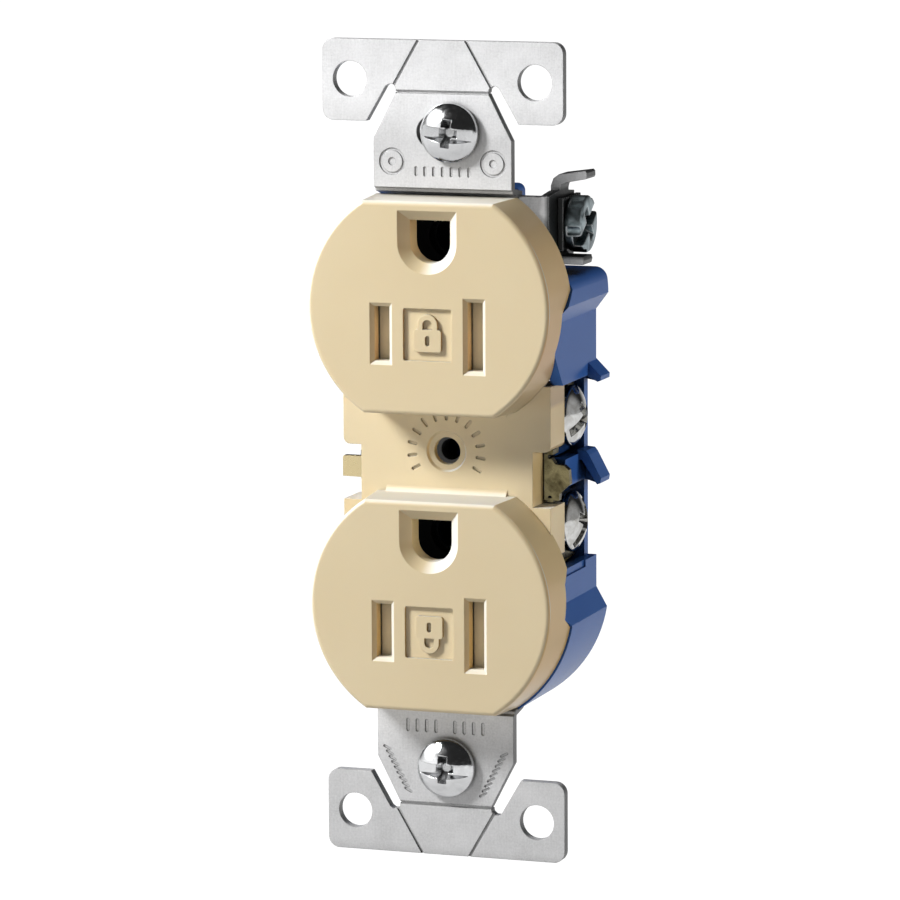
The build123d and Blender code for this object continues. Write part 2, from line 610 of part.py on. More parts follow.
with BuildPart() as mounting_strap:
    # both ends, each with two break-off ears
    for end in (1, -1):
        with BuildSketch(at_y(STRAP_T)):
            with Locations((0, end * (STRAP_HALF + EAR_BOTTOM) / 2)):
                RectangleRounded(2 * EAR_X, STRAP_HALF - EAR_BOTTOM, EAR_ROUND)
            with BuildLine():
                Polyline(*flip(both_halves(NECK), z=end), close=True)
            make_face()
            for side in (-1, 1):
                with BuildLine():
                    Polyline(*flip(EAR_SLIT, x=side, z=end), close=True)
                make_face(mode=Mode.SUBTRACT)
                with Locations((side * EAR_HOLE_X, end * EAR_HOLE_Z)):
                    Circle(EAR_HOLE_R, mode=Mode.SUBTRACT)
            with Locations((0, end * SCREW_Z)):
                SlotOverall(SLOT_L, SLOT_W, mode=Mode.SUBTRACT)
        extrude(amount=STRAP_T)
        # step back behind the cover
        with BuildSketch(at_x(-NECK_X)):
            with BuildLine():
                Polyline(*flip(JOG, z=end), close=True)
            make_face()
        extrude(amount=2 * NECK_X)
    # middle part between the contacts
    with BuildSketch(at_y(SPINE_BACK)):
        with BuildLine():
            Polyline(*both_halves(SPINE), close=True)
        make_face()
    extrude(amount=STRAP_T)
    # ground tab: front leaf, web, and its two lugs
    for plane, outline, thickness in (
        (at_y(SPINE_BACK), TAB_LEAF, STRAP_T),
        (at_x(TAB_X), TAB_WEB, TAB_T),
        (at_y(11.2), UPPER_LUG, LUG_W),
        (at_y(9.8), LOWER_LUG, LUG_W),
    ):
        with BuildSketch(plane):
            with BuildLine():
                Polyline(*outline, close=True)
            make_face()
        extrude(amount=thickness)
    # openings: ground pins, rivets, ground screw
    with BuildSketch(at_y(SPINE_BACK)):
        for pin_z in ground_z:
            with Locations((0, pin_z)):
                Circle(PIN_HOLE_R)
            with Locations((0, pin_z + RIVET_DZ)):
                Circle(RIVET_HOLE_R)
    extrude(amount=STRAP_T, mode=Mode.SUBTRACT)
    with BuildSketch(at_x(TAB_X)):
        with Locations((GND_Y, GND_Z)):
            Circle(HOLE_8)
    extrude(amount=TAB_T + PAST, mode=Mode.SUBTRACT)
    # drawn and tapped collar for the wall-plate screw
    with BuildSketch(at_y(SPINE_BACK + 1.5)):
        Circle(COLLAR_R)
    extrude(amount=1.6)
    with BuildSketch(at_y(8)):
        Circle(TAP_R)
    extrude(amount=7, mode=Mode.SUBTRACT)
    # scored lines where the ears snap off
    for end in (1, -1):
        with BuildSketch(at_y(CREASE_DEPTH)):
            with Locations((0, end * CREASE_Z)):
                Rectangle(2 * CREASE_X + 0.2, CREASE_W)
            for side in (-1, 1):
                with BuildLine():
                    Polyline(*flip(EAR_SCORE, x=side, z=end), close=True)
                make_face()
        extrude(amount=1, mode=Mode.SUBTRACT)
        with BuildSketch(at_y(STRAP_T + PAST)):
            with Locations((0, end * CREASE_Z)):
                Rectangle(2 * CREASE_X + 0.2, CREASE_W)
        extrude(amount=PAST + CREASE_DEPTH, mode=Mode.SUBTRACT)
    # plain stamped rings
    with BuildSketch(at_y(STAMP_DEPTH)):
        for side in (-1, 1):
            with Locations((side * RING_X, RING_Z)):
                Circle(1.75)
                Circle(1.42, mode=Mode.SUBTRACT)
    extrude(amount=1, mode=Mode.SUBTRACT)
    # dots in the rings, and rows of ticks
    with BuildSketch(at_y(STAMP_DEPTH)):
        for side in (-1, 1):
            with Locations((side * RING_X, RING_Z)):
                Circle(0.5)
        for i in range(7):
            with Locations((-3.6 + 1.2 * i, 36.55)):
                SlotOverall(1.25, 0.36, rotation=90)
        for i in range(9):
            if i != 4:  # gap in the middle of the lower row
                with Locations((-5.2 + 1.3 * i, -36.35)):
                    SlotOverall(1.7, 0.4, rotation=90)
        # slanted rows beside the lower box screw
        for side in (-1, 1):
            for i in range(9):
                along = i / 8
                with Locations((side * (8.1 - 2.9 * along), -39.6 - 5.5 * along)):
                    SlotOverall(1.2, 0.3, rotation=side * 28)
    extrude(amount=1, mode=Mode.SUBTRACT)
parts["mounting_strap"] = mounting_strap.part

# =========================================================== contact strips
STRIP_BACK = 14.2
CLIP_FRONT = 1.2
CLIP_LEAF_DX = 1.2  # clip leaves either side of the blade
CLIP_HALF_H = 3.2
CLIP_LIP = 0.5
CLIP_IN = BLADE_X - CLIP_LEAF_DX - PLATE_T / 2
CLIP_OUT = BLADE_X + CLIP_LEAF_DX + PLATE_T / 2
PLATE_OUT = PLATE_X + PLATE_T
PLATE_ENDS = (8.6, -15.0)  # outer ends of the upper and lower plates, in z
# terminal plates with their share of the front link (y, z)
TERMINAL_PLATES = [
    [(7.1, 0.75), (7.1, 8.6), (STRIP_BACK, 8.6), (STRIP_BACK, 0.2), (7.6, 0.2),
     (7.4, -0.5), (5.2, -0.5), (5.2, 0.15), (6.9, 0.15)],
    [(7.1, -7.6), (7.1, -15.0), (STRIP_BACK, -15.0), (STRIP_BACK, -6.95), (7.6, -6.95),
     (7.4, -6.2), (5.2, -6.2), (5.2, -6.75), (6.9, -6.75)],
]
# break-off link tabs, |x| and z
LINK_BACK, LINK_T = 6.2, 1.0
NEUTRAL_LINK = [
    (12.0, -0.3), (12.6, -0.4), (13.5, -1.7), (14.7, -1.85), (15.35, -2.4), (15.5, -4.3),
    (14.9, -4.75), (14.1, -5.6), (14.0, -6.5), (12.0, -6.5),
]
HOT_LINK = [
    (12.0, -0.3), (12.6, -0.4), (13.4, -1.85), (15.8, -1.85), (15.95, -2.05),
    (15.95, -4.6), (13.4, -4.65), (13.2, -6.3), (12.0, -6.5),
]
LINK_HOLES = [(12.75, -0.75), (12.75, -6.15)]
LINK_HOLE_R = 0.28

# the strip without its link tab, on the neutral side
with BuildPart() as contact_strip_form:
    with BuildSketch(at_x(PLATE_X)):
        for outline in TERMINAL_PLATES:
            with BuildLine():
                Polyline(*outline, close=True)
            make_face()
        for z in TERM_Z:
            with Locations((TERM_Y, z)):
                Circle(HOLE_8, mode=Mode.SUBTRACT)
    extrude(amount=PLATE_T)
    # arms to the blade clips, and the clips
    for clip_z, plate_end, up in zip(blade_z, PLATE_ENDS, (1, -1)):
        near_z = clip_z - up * CLIP_HALF_H
        far_z = clip_z + up * CLIP_HALF_H
        with BuildSketch(at_y(STRIP_BACK)):
            with BuildLine():
                Polyline(
                    (PLATE_OUT, plate_end), (PLATE_OUT, plate_end - up * 1.6),
                    (11.2, plate_end + up * 0.6), (CLIP_OUT, near_z), (CLIP_IN, near_z),
                    (CLIP_IN, far_z), (CLIP_OUT, far_z), (CLIP_OUT, near_z + up * 1.2),
                    (11.6, plate_end + up * 1.4), (PLATE_OUT, plate_end + up * 0.01),
                    close=True,
                )
            make_face()
        extrude(amount=PLATE_T)
        with BuildSketch(at_y(STRIP_BACK)):
            for dx in (-CLIP_LEAF_DX, CLIP_LEAF_DX):
                with Locations((BLADE_X + dx, clip_z)):
                    Rectangle(PLATE_T, 2 * CLIP_HALF_H)
        extrude(amount=STRIP_BACK - CLIP_FRONT)
        # lead-in on the inner front edges of the leaves
        lips = (
            contact_strip_form.edges()
            .filter_by(Axis.Z)
            .filter_by(lambda edge: abs(edge.center().Y - CLIP_FRONT) < 0.01
                       and edge.center().X < 9
                       and abs(abs(edge.center().X - BLADE_X) - 0.8) < 0.05
                       and abs(edge.center().Z - clip_z) < 1)
        )
        chamfer(lips, length=CLIP_LIP)


def contact_strip(side, link):
    """Strip on the given side, with the link tab out of the plates' front edge."""
    with BuildPart() as strip:
        if side > 0:
            add(contact_strip_form.part)
        else:
            mirror(contact_strip_form.part, about=Plane.YZ)
        with BuildSketch(at_y(LINK_BACK)):
            with BuildLine():
                Polyline(*flip(link, x=side), close=True)
            make_face()
            with Locations(*flip(LINK_HOLES, x=side)):
                Circle(LINK_HOLE_R, mode=Mode.SUBTRACT)
        extrude(amount=LINK_T)
    return strip.part


parts["neutral_contact_strip"] = contact_strip(1, NEUTRAL_LINK)
parts["hot_contact_strip"] = contact_strip(-1, HOT_LINK)

# ========================================================== ground contacts
CONTACT_T = 0.8
CONTACT_BASE = (6.5, 10.6)
PIN_OPENING_R = 2.42
LEAF_X = 2.85
LEAF_H = 6.4
LEAF_FRONT, LEAF_BACK = 4.6, 12.2

with BuildPart() as ground_contact:
    pin_z = ground_z[0]
    with BuildSketch(at_y(5.15)):
        with Locations((0, pin_z - 1.3)):
            Rectangle(*CONTACT_BASE)
        with Locations((0, pin_z)):
            Circle(PIN_OPENING_R, mode=Mode.SUBTRACT)
        with Locations((0, pin_z + RIVET_DZ)):
            Circle(RIVET_HOLE_R, mode=Mode.SUBTRACT)
    extrude(amount=CONTACT_T)
    # two leaves that grip the pin
    with BuildSketch(at_y(LEAF_BACK)):
        for side in (-1, 1):
            with Locations((side * LEAF_X, pin_z)):
                Rectangle(CONTACT_T, LEAF_H)
    extrude(amount=LEAF_BACK - LEAF_FRONT)
parts["ground_contact_upper"] = ground_contact.part
parts["ground_contact_lower"] = placed(ground_contact.part, (0, 0, -PITCH))

# rivets: back plane, radius, length and taper of shank, front head and back head
RIVET_STAGES = [(5.75, 1.2, 5.75 - 2.45, 0), (3.0, 1.9, 0.55, 25), (5.7, 1.8, 0.55, 0)]

with BuildPart() as ground_contact_rivets:
    for pin_z in ground_z:
        for back, radius, length, taper in RIVET_STAGES:
            with BuildSketch(at_y(back)):
                with Locations((0, pin_z + RIVET_DZ)):
                    Circle(radius)
            extrude(amount=length, taper=taper)
parts["ground_contact_rivets"] = ground_contact_rivets.part

# ============================================================ screw forms
HEAD_TOP = 2.5
# half sections (radius, z) from the head's top down the axis and up to the rim
BOX_SCREW = [  # the neck runs free in the strap slot; the thread starts behind it
    (0, HEAD_TOP), (0, -16.5), (1.2, -16.5), (SHANK_6, -15.9), (SHANK_6, -2.5),
    (1.5, -2.3), (1.5, 0), (3.7, 0), (3.9, 0.25), (3.9, 0.55),
]
BINDING_SCREW = [
    (0, HEAD_TOP), (0, -4.9), (1.5, -4.9), (SHANK_8, -4.3), (SHANK_8, 0), (3.7, 0),
    (4.0, 0.3), (4.0, 0.9),
]


def cross_arms(mouth, foot):
    """Mouth and foot sizes of the two arms of a cross recess."""
    return (mouth, foot), (mouth[::-1], foot[::-1])


def screw_form(section, crown, slot_width, slot_floor, cross_floor):
    """Screw on the origin, head above and shank down -Z.

    crown is a point on the domed top; slot and cross arms have the same width.
    """
    with BuildPart() as screw:
        with BuildSketch(Plane.XZ):
            with BuildLine():
                Polyline(*section)
                ThreePointArc(section[-1], crown, section[0])
            make_face()
        revolve(axis=Axis.Z)
        with BuildSketch(Plane.XY.offset(slot_floor)):
            Rectangle(10, slot_width + 0.0)
        extrude(amount=3, mode=Mode.SUBTRACT)
        return_width = slot_width
        for mouth, foot in cross_arms((4.4, CROSS_WIDTH[return_width]), (1.4, 0.8)):
            with BuildSketch(Plane.XY.offset(HEAD_TOP + 0.1)):
                Rectangle(*mouth)
            with BuildSketch(Plane.XY.offset(cross_floor)):
                Rectangle(*foot)
            loft(mode=Mode.SUBTRACT)
    return screw.part


CROSS_WIDTH = {1.35: 1.25, 1.3: 1.3}  # cross arm width by slot width
box_screw = screw_form(
    BOX_SCREW, crown=(2.35, 2.0), slot_width=1.35, slot_floor=1.35, cross_floor=0.4
)
binding_screw = screw_form(
    BINDING_SCREW, crown=(2.4, 2.1), slot_width=1.3, slot_floor=1.3, cross_floor=0.6
)

# box screws: name, x, z and turn in degrees
MOUNT_X = (1.2, 0.3)
for name, x, z, turn in (("upper", MOUNT_X[0], SCREW_Z, -3), ("lower", MOUNT_X[1], -SCREW_Z, -2)):
    place = Plane(
        origin=(x, -0.12, z),
        x_dir=(cos(radians(turn)), 0, sin(radians(turn))),
        z_dir=(0, -1, 0),
    )
    parts[f"mounting_screw_{name}"] = placed(box_screw, place.location)

# terminal screws, heads outwards: name, side, z and turn in degrees
for name, side, z, turn in (
    ("hot_terminal_screw_upper", -1, TERM_Z[0], 20),
    ("hot_terminal_screw_lower", -1, TERM_Z[1], 75),
    ("neutral_terminal_screw_upper", 1, TERM_Z[0], 35),
    ("neutral_terminal_screw_lower", 1, TERM_Z[1], 62),
):
    place = Plane(
        origin=(side * (PLATE_OUT + 0.1), TERM_Y, z),
        x_dir=(0, cos(radians(turn)), sin(radians(turn))),
        z_dir=(side, 0, 0),
    )
    parts[name] = placed(binding_screw, place.location)

# ================================================== ground screw and clamp
CLAMP_X = TAB_X + TAB_T + 0.1
CLAMP_T = 0.7
CLAMP_OUT = CLAMP_X + CLAMP_T
GND_HEAD_R = 3.75
GND_HEAD_T = 2.35
GND_RECESS_X = CLAMP_OUT + 2.45  # just outside the head
GND_TURN = 28  # degrees
GND_TIP_X = 7.6

# thick head with flutes round its side, slot and cross recess
with BuildPart() as ground_screw:
    with BuildSketch(at_x(CLAMP_OUT + 0.05)):
        with Locations((GND_Y, GND_Z)):
            Circle(GND_HEAD_R)
    extrude(amount=GND_HEAD_T)
    crown_edges = ground_screw.faces().sort_by(Axis.X)[-1].edges()
    chamfer(crown_edges, length=0.35)
    with BuildSketch(at_x(CLAMP_OUT)):
        with Locations((GND_Y, GND_Z)):
            with PolarLocations(radius=4.3, count=6, start_angle=10):
                Circle(0.9)
    extrude(amount=3, mode=Mode.SUBTRACT)
    with BuildSketch(at_x(GND_TIP_X)):
        with Locations((GND_Y, GND_Z)):
            Circle(SHANK_8)
    extrude(amount=CLAMP_OUT + 0.1 - GND_TIP_X)
    with BuildSketch(at_x(GND_RECESS_X)):
        with Locations((GND_Y, GND_Z)):
            Rectangle(9, 1.15, rotation=GND_TURN)
    extrude(amount=-1.1, mode=Mode.SUBTRACT)
    for mouth, foot in cross_arms((4.4, 1.3), (1.6, 0.9)):
        with BuildSketch(at_x(GND_RECESS_X)):
            with Locations((GND_Y, GND_Z)):
                Rectangle(*mouth, rotation=GND_TURN)
        with BuildSketch(at_x(CLAMP_OUT + 0.5)):
            with Locations((GND_Y, GND_Z)):
                Rectangle(*foot, rotation=GND_TURN)
        loft(mode=Mode.SUBTRACT)
parts["ground_screw"] = ground_screw.part

with BuildPart() as ground_clamp:
    with BuildSketch(at_x(CLAMP_X)):
        with Locations((GND_Y + 0.1, GND_Z + 0.2)):
            RectangleRounded(7.4, 6.9, 0.6)
        with Locations((GND_Y, GND_Z)):
            Circle(HOLE_8, mode=Mode.SUBTRACT)
    extrude(amount=CLAMP_T)
    # serrations on the face that bites the wire
    with BuildSketch(at_x(CLAMP_X)):
        for i in range(9):
            with Locations((GND_Y - 3.1 + 0.8 * i, GND_Z)):
                Rectangle(0.35, 9)
    extrude(amount=0.2, mode=Mode.SUBTRACT)
parts["ground_clamp"] = ground_clamp.part

# ============================================================ screw retainers
RETAINER_T = 0.7

with BuildPart() as screw_retainer:
    with BuildSketch(at_y(STRAP_T + 0.05 + RETAINER_T)):
        with Locations((MOUNT_X[0], SCREW_Z)):
            RectangleRounded(8.6, 7.6, 1.0)
            Circle(SHANK_6 + 0.05, mode=Mode.SUBTRACT)
    extrude(amount=RETAINER_T)
parts["screw_retainer_upper"] = screw_retainer.part
parts["screw_retainer_lower"] = placed(
    screw_retainer.part, (MOUNT_X[1] - MOUNT_X[0], 0, -2 * SCREW_Z)
)

# ================================================================= shutters
SHUT_TRAVEL = 2.6
SHUT_Y = -4.0  # front of the slider
SHUT_T = 1.2
SHUT_SLOT_W = 2.2
SHUT_Z = blade_z[0]
HOUSING_BACK = -1.6
HOUSING_FLOOR = -2.7  # front of the housing's rear wall

with BuildPart() as shutter_housing:
    # tray with a rear wall, open to the front where the slider runs
    with BuildSketch(at_y(HOUSING_BACK)):
        with Locations((0, SHUT_Z)):
            RectangleRounded(24.6, 12.6, 1.0)
    extrude(amount=2.5)
    with BuildSketch(at_y(HOUSING_FLOOR)):
        with Locations((0, SHUT_Z)):
            Rectangle(22.6, 10.9)
    extrude(amount=2, mode=Mode.SUBTRACT)
    # blade openings
    with BuildSketch(at_y(-1)):
        for side in (-1, 1):
            with Locations((side * BLADE_X, SHUT_Z)):
                Rectangle(2.4, 9.1)
    extrude(amount=3, mode=Mode.SUBTRACT)
    # small post on the rear wall, beyond the spring's +X end
    with BuildSketch(at_y(-2.6)):
        with Locations((0.9, SHUT_Z)):
            Rectangle(0.8, 1.5)
    extrude(amount=1.3)

with BuildPart() as shutter_slider:
    # one plate that blocks both slots until both blades push its ramps together
    with BuildSketch(at_y(SHUT_Y + SHUT_T)):
        with Locations((-1.3, SHUT_Z)):
            Rectangle(19.6, 10.5)
        for slot_x, height in ((-BLADE_X, 7.4), (BLADE_X, 9.0)):
            with Locations((slot_x - SHUT_TRAVEL, SHUT_Z)):
                Rectangle(SHUT_SLOT_W, height, mode=Mode.SUBTRACT)
        # window for the spring
        with Locations((-1.5, SHUT_Z)):
            Rectangle(6.2, 2.0, mode=Mode.SUBTRACT)
    extrude(amount=SHUT_T)
    ramp_x = [x - SHUT_TRAVEL + SHUT_SLOT_W / 2 for x in (-BLADE_X, BLADE_X)]
    ramps = (
        shutter_slider.edges()
        .filter_by(Axis.Z)
        .filter_by(lambda edge: abs(edge.center().Y - SHUT_Y) < 0.01)
        .filter_by(lambda edge: any(abs(edge.center().X - x) < 0.05 for x in ramp_x))
    )
    chamfer(ramps, length=1.0, length2=0.6)

with BuildPart() as shutter_spring:
    with BuildLine():
        coil = Helix(
            pitch=0.72, height=4.75, radius=0.40,
            center=(-4.45, SHUT_Y + SHUT_T / 2, SHUT_Z), direction=(1, 0, 0),
        )
    with BuildSketch(Plane(origin=coil @ 0, z_dir=coil % 0)):
        Circle(0.165)
    sweep(path=coil, is_frenet=True)

for name, piece in (
    ("housing", shutter_housing), ("slider", shutter_slider), ("spring", shutter_spring),
):
    parts[f"shutter_{name}_upper"] = piece.part
    parts[f"shutter_{name}_lower"] = placed(piece.part, (0, 0, -PITCH))

# ============================================================= wire springs
WIRE_SPRING_W = 2.0
WIRE_SPRING_T = 0.35
# leaf (x, y), folded over at the front: one leg on its rib, one leaning on the wire
RIB_LEG = [(7.45, 15.0), (7.45, 8.2)]
FOLD_FRONT = (8.3, 7.1)
WIRE_LEG = [(9.2, 8.0), (9.75, 13.6)]

with BuildPart() as wire_spring:
    with BuildSketch(Plane(origin=(0, 0, PUSH_Z[0] - WIRE_SPRING_W / 2),
                           x_dir=(1, 0, 0), z_dir=(0, 0, 1))):
        with BuildLine() as leaf:
            Polyline(*RIB_LEG)
            ThreePointArc(RIB_LEG[-1], FOLD_FRONT, WIRE_LEG[0])
            Polyline(*WIRE_LEG)
        trace(leaf.line, line_width=WIRE_SPRING_T)
    extrude(amount=WIRE_SPRING_W)
wire_spring_lower = placed(wire_spring.part, (0, 0, PUSH_Z[1] - PUSH_Z[0]))
parts["neutral_wire_spring_upper"] = wire_spring.part
parts["neutral_wire_spring_lower"] = wire_spring_lower
parts["hot_wire_spring_upper"] = mirrored(wire_spring.part)
parts["hot_wire_spring_lower"] = mirrored(wire_spring_lower)

# =================================================================== export
os.makedirs("parts", exist_ok=True)
for name, part in parts.items():
    part.label = name
    export_step(part, f"parts/{name}.step")
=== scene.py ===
"""A duplex wall outlet with an ivory face, shuttered slots, a steel strap and terminal screws.

It stands upright: X is its width, Z its height, and the face looks towards -Y. The brass (hot)
screws are on the left at -X; the nickel (neutral) and ground screws are on the right at +X.
The CAD pieces are in metres. Sizes here are in millimetres unless a comment says otherwise.
"""

import json
import math
from functools import cached_property

import bmesh
import bpy
from mathutils import Matrix, Vector


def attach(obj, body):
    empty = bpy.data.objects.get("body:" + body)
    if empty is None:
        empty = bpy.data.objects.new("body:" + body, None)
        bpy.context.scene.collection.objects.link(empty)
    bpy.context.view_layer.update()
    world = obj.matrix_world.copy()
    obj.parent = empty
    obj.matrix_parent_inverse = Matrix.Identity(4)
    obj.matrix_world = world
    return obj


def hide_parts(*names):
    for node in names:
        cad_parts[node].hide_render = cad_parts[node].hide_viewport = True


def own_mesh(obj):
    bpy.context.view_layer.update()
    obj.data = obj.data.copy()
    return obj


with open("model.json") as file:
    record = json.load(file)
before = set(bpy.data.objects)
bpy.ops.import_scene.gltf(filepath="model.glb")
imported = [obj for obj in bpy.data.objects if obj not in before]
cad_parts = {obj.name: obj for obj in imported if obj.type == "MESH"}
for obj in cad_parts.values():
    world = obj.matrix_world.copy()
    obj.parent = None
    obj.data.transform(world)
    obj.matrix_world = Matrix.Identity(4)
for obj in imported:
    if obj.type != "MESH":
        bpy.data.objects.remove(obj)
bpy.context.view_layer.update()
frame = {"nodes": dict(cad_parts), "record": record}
nodes = frame["nodes"]
scene = bpy.context.scene
MM = 0.001
X, Y, Z = 0, 1, 2

# ------------------------------------------------------------------ shader helpers


class Nodes:
    """A node tree, with short ways to add and join nodes."""

    def __init__(self, tree):
        self.tree = tree
        tree.nodes.clear()

    def feed(self, socket, value):
        """Links an output to the socket, or sets a plain value; colours are given as RGB."""
        if hasattr(value, "links"):
            self.tree.links.new(value, socket)
        else:
            socket.default_value = (*value, 1) if socket.type == "RGBA" else value

    def add(self, kind, inputs, **settings):
        node = self.tree.nodes.new("ShaderNode" + kind)
        for key, value in settings.items():
            setattr(node, key, value)
        for key, value in inputs.items():
            self.feed(node.inputs[key], value)
        return node

    def math(self, kind, a, b):
        return self.add("Math", {0: a, 1: b}, operation=kind).outputs[0]

    def times(self, first, *others):
        for other in others:
            first = self.math("MULTIPLY", first, other)
        return first

    def dot(self, a, b):
        return self.add("VectorMath", {0: a, 1: b}, operation="DOT_PRODUCT").outputs["Value"]

    def ramp(self, factor, stops):
        """Stops are (position, grey level or RGB)."""
        node = self.add("ValToRGB", {0: factor})
        elements = node.color_ramp.elements
        while len(elements) < len(stops):
            elements.new(0.5)
        for element, (position, c) in zip(elements, stops):
            element.position = position
            element.color = (c, c, c, 1) if isinstance(c, (int, float)) else (*c, 1)
        return node.outputs[0]


class Shader(Nodes):
    """A material with one Principled surface."""

    def __init__(self, name):
        self.mat = bpy.data.materials.new(name)
        self.mat.use_nodes = True
        super().__init__(self.mat.node_tree)
        self.bsdf = self.add("BsdfPrincipled", {})
        self.out = self.add("OutputMaterial", {"Surface": self.bsdf.outputs[0]})
        self.coord = self.add("TexCoord", {}).outputs["Object"]

    @cached_property
    def normal(self):
        return self.add("NewGeometry", {}).outputs["Normal"]

    def put(self, name, value):
        self.feed(self.bsdf.inputs[name], value)

    def scaled(self, x=1, y=1, z=1):
        """Object coordinates in millimetres, stretched."""
        scale = (1000 * x, 1000 * y, 1000 * z)
        return self.add("Mapping", {"Vector": self.coord, "Scale": scale}).outputs[0]

    def noise(self, scale, detail=3.0, rough=0.55, vec=None, distort=0.0):
        return self.add("TexNoise", {
            "Scale": scale, "Detail": detail, "Roughness": rough, "Distortion": distort,
            "Vector": vec or self.scaled()}).outputs["Fac"]

    def dots(self, scale, size, level=1.0):
        """Small spots, one in each cell of a Voronoi pattern."""
        cells = self.add("TexVoronoi", {"Scale": scale, "Vector": self.scaled()})
        return self.ramp(cells.outputs["Distance"], [(0.0, level), (size, 0.0)])

    def mix(self, factor, a, b, kind="MIX"):
        return self.add("Mix", {0: factor, 6: a, 7: b}, data_type="RGBA",
                        blend_type=kind).outputs[2]

    def tint(self, a, b, factor=1.0):
        return self.mix(factor, a, b, "MULTIPLY")

    def bump(self, height, distance, normal):
        return self.add("Bump", {"Strength": 0.5, "Distance": distance * MM,
                                 "Height": height, "Normal": normal}).outputs[0]

    def bevel(self, radius):
        return self.add("Bevel", {"Radius": radius * MM}, samples=4).outputs[0]

    def edges(self, bevel_normal, low=0.02, high=0.25):
        """1 near the mesh's sharp edges, 0 on its faces."""
        away = self.math("SUBTRACT", 1.0, self.dot(bevel_normal, self.normal))
        return self.ramp(away, [(low, 0.0), (high, 1.0)])

    def facing(self, direction, low, high):
        """1 on faces turned towards the direction."""
        turned = self.dot(self.normal, Vector(direction).normalized())
        return self.ramp(turned, [(low, 0.0), (high, 1.0)])

    def along(self, vec, axis, stops, unit):
        """Ramp along one component of a vector, stops given in the unit."""
        low, high = stops[0][0], stops[-1][0]
        value = self.add("SeparateXYZ", {0: vec}).outputs[axis]
        t = self.math("DIVIDE", self.math("SUBTRACT", value, low * unit), (high - low) * unit)
        return self.ramp(t, [((at - low) / (high - low), c) for at, c in stops])

    def turned(self, axis, stops):
        """Ramp along one component of the surface normal."""
        return self.along(self.normal, axis, stops, 1.0)

    def span(self, axis, stops):
        """Ramp along one object axis, stops given in millimetres."""
        return self.along(self.coord, axis, stops, MM)

    def wells(self, colour, front=-0.8, specular=0.5):
        """Painted shade: the two ground-pin wells are coloured near black and unreflective inside,
        from the depth given as front.
        """
        inside = self.times(
            self.span(X, [(-6.0, 0.0), (-5.6, 1.0), (5.6, 1.0), (6.0, 0.0)]),
            self.span(Z, [(-18.0, 0.0), (-17.6, 1.0), (-6.2, 1.0), (-5.8, 0.0), (21.8, 0.0),
                          (22.2, 1.0), (33.0, 1.0), (33.4, 0.0)]),
            self.span(Y, [(front - 0.3, 0.0), (front, 1.0), (13.6, 1.0), (14.0, 0.0)]))
        self.put("Specular IOR Level", self.ramp(inside, [(0.0, specular), (1.0, 0.0)]))
        return self.mix(inside, colour, (0.003, 0.003, 0.003))

    def open_sky(self, distance, low, high):
        """Near 0 deep in holes and corners, 1 out in the open."""
        node = self.add("AmbientOcclusion", {"Distance": distance * MM}, samples=4)
        return self.ramp(node.outputs["AO"], [(low, 0.0), (high, 1.0)])


def srgb(*channels):
    """Linear colour from 0-255 channels."""
    return tuple(c / 12.92 if c <= 0.04045 else ((c + 0.055) / 1.055) ** 2.4
                 for c in (channel / 255 for channel in channels))


# ------------------------------------------------------------------ plastics


def plastic(name, base, dark, light, deep, rough, coat, bump=0.006, sky=(6.0, 0.0, 0.75),
            marks=0.35, specular=0.5, well_front=-0.8, painted_light_pass=None):
    """Moulded plastic: deep is its painted shade colour in holes and corners, sky the (distance,
    low, high) of open_sky, marks the strength of dark smudges, and the last argument adds
    painted light and shade to the colour."""
    s = Shader(name)
    cloud = s.ramp(s.noise(0.05, detail=2.0), [(0.35, 0.0), (0.65, 1.0)])
    grain = s.noise(1.6, detail=4.0, rough=0.6)
    col = s.mix(s.times(cloud, 0.5), base, light)
    smudges = s.noise(0.35, detail=4.0, rough=0.7)
    col = s.mix(s.ramp(smudges, [(0.60, 0.0), (0.80, marks)]), col, dark)
    col = s.mix(s.times(s.dots(0.8, size=0.04), 0.05), col, dark)
    if painted_light_pass:
        col = painted_light_pass(s, col, dark, light)
    # painted shade: holes and corners take the deep colour, and the wells go near black
    col = s.mix(s.open_sky(*sky), deep, col)
    s.put("Base Color", s.wells(col, well_front, specular))
    s.put("Roughness", s.ramp(s.noise(0.08, detail=2.0),
                              [(0.3, rough + 0.02), (0.7, rough + 0.05)]))
    s.put("Coat Weight", coat)
    s.put("Coat Roughness", 0.08)
    s.put("Normal", s.bump(grain, bump, s.bevel(0.14)))
    return s.mat


def key_facing_painted_highlight(s):
    """Painted highlight mask: drafted walls that look to the upper left, towards the key, except
    the outer left walls.
    """
    outer = s.times(s.span(X, [(-10.2, 1.0), (-9.4, 0.0)]),
                    s.span(Y, [(-5.4, 0.0), (-4.9, 1.0)]),
                    s.turned(X, [(-0.60, 1.0), (-0.45, 0.0)]))
    return s.times(s.facing((-0.74, -0.16, 0.62), low=0.38, high=0.76),
                   s.math("SUBTRACT", 1.0, outer))


def rim_light(s):
    """The thin line of light on the right of the moulded rims."""
    return s.times(
        s.turned(Y, [(-0.42, 0.0), (-0.30, 1.0), (-0.15, 1.0), (-0.08, 0.0)]),
        s.turned(X, [(0.35, 0.0), (0.6, 1.0)]),
        s.span(Y, [(-5.2, 1.0), (-4.6, 0.0)]),
        s.span(Z, [(-22, 0.15), (-18, 1.0), (-12, 1.0), (-9.5, 0.2),
                   (16, 0.15), (19, 1.0), (27, 1.0), (29, 0.2)]))


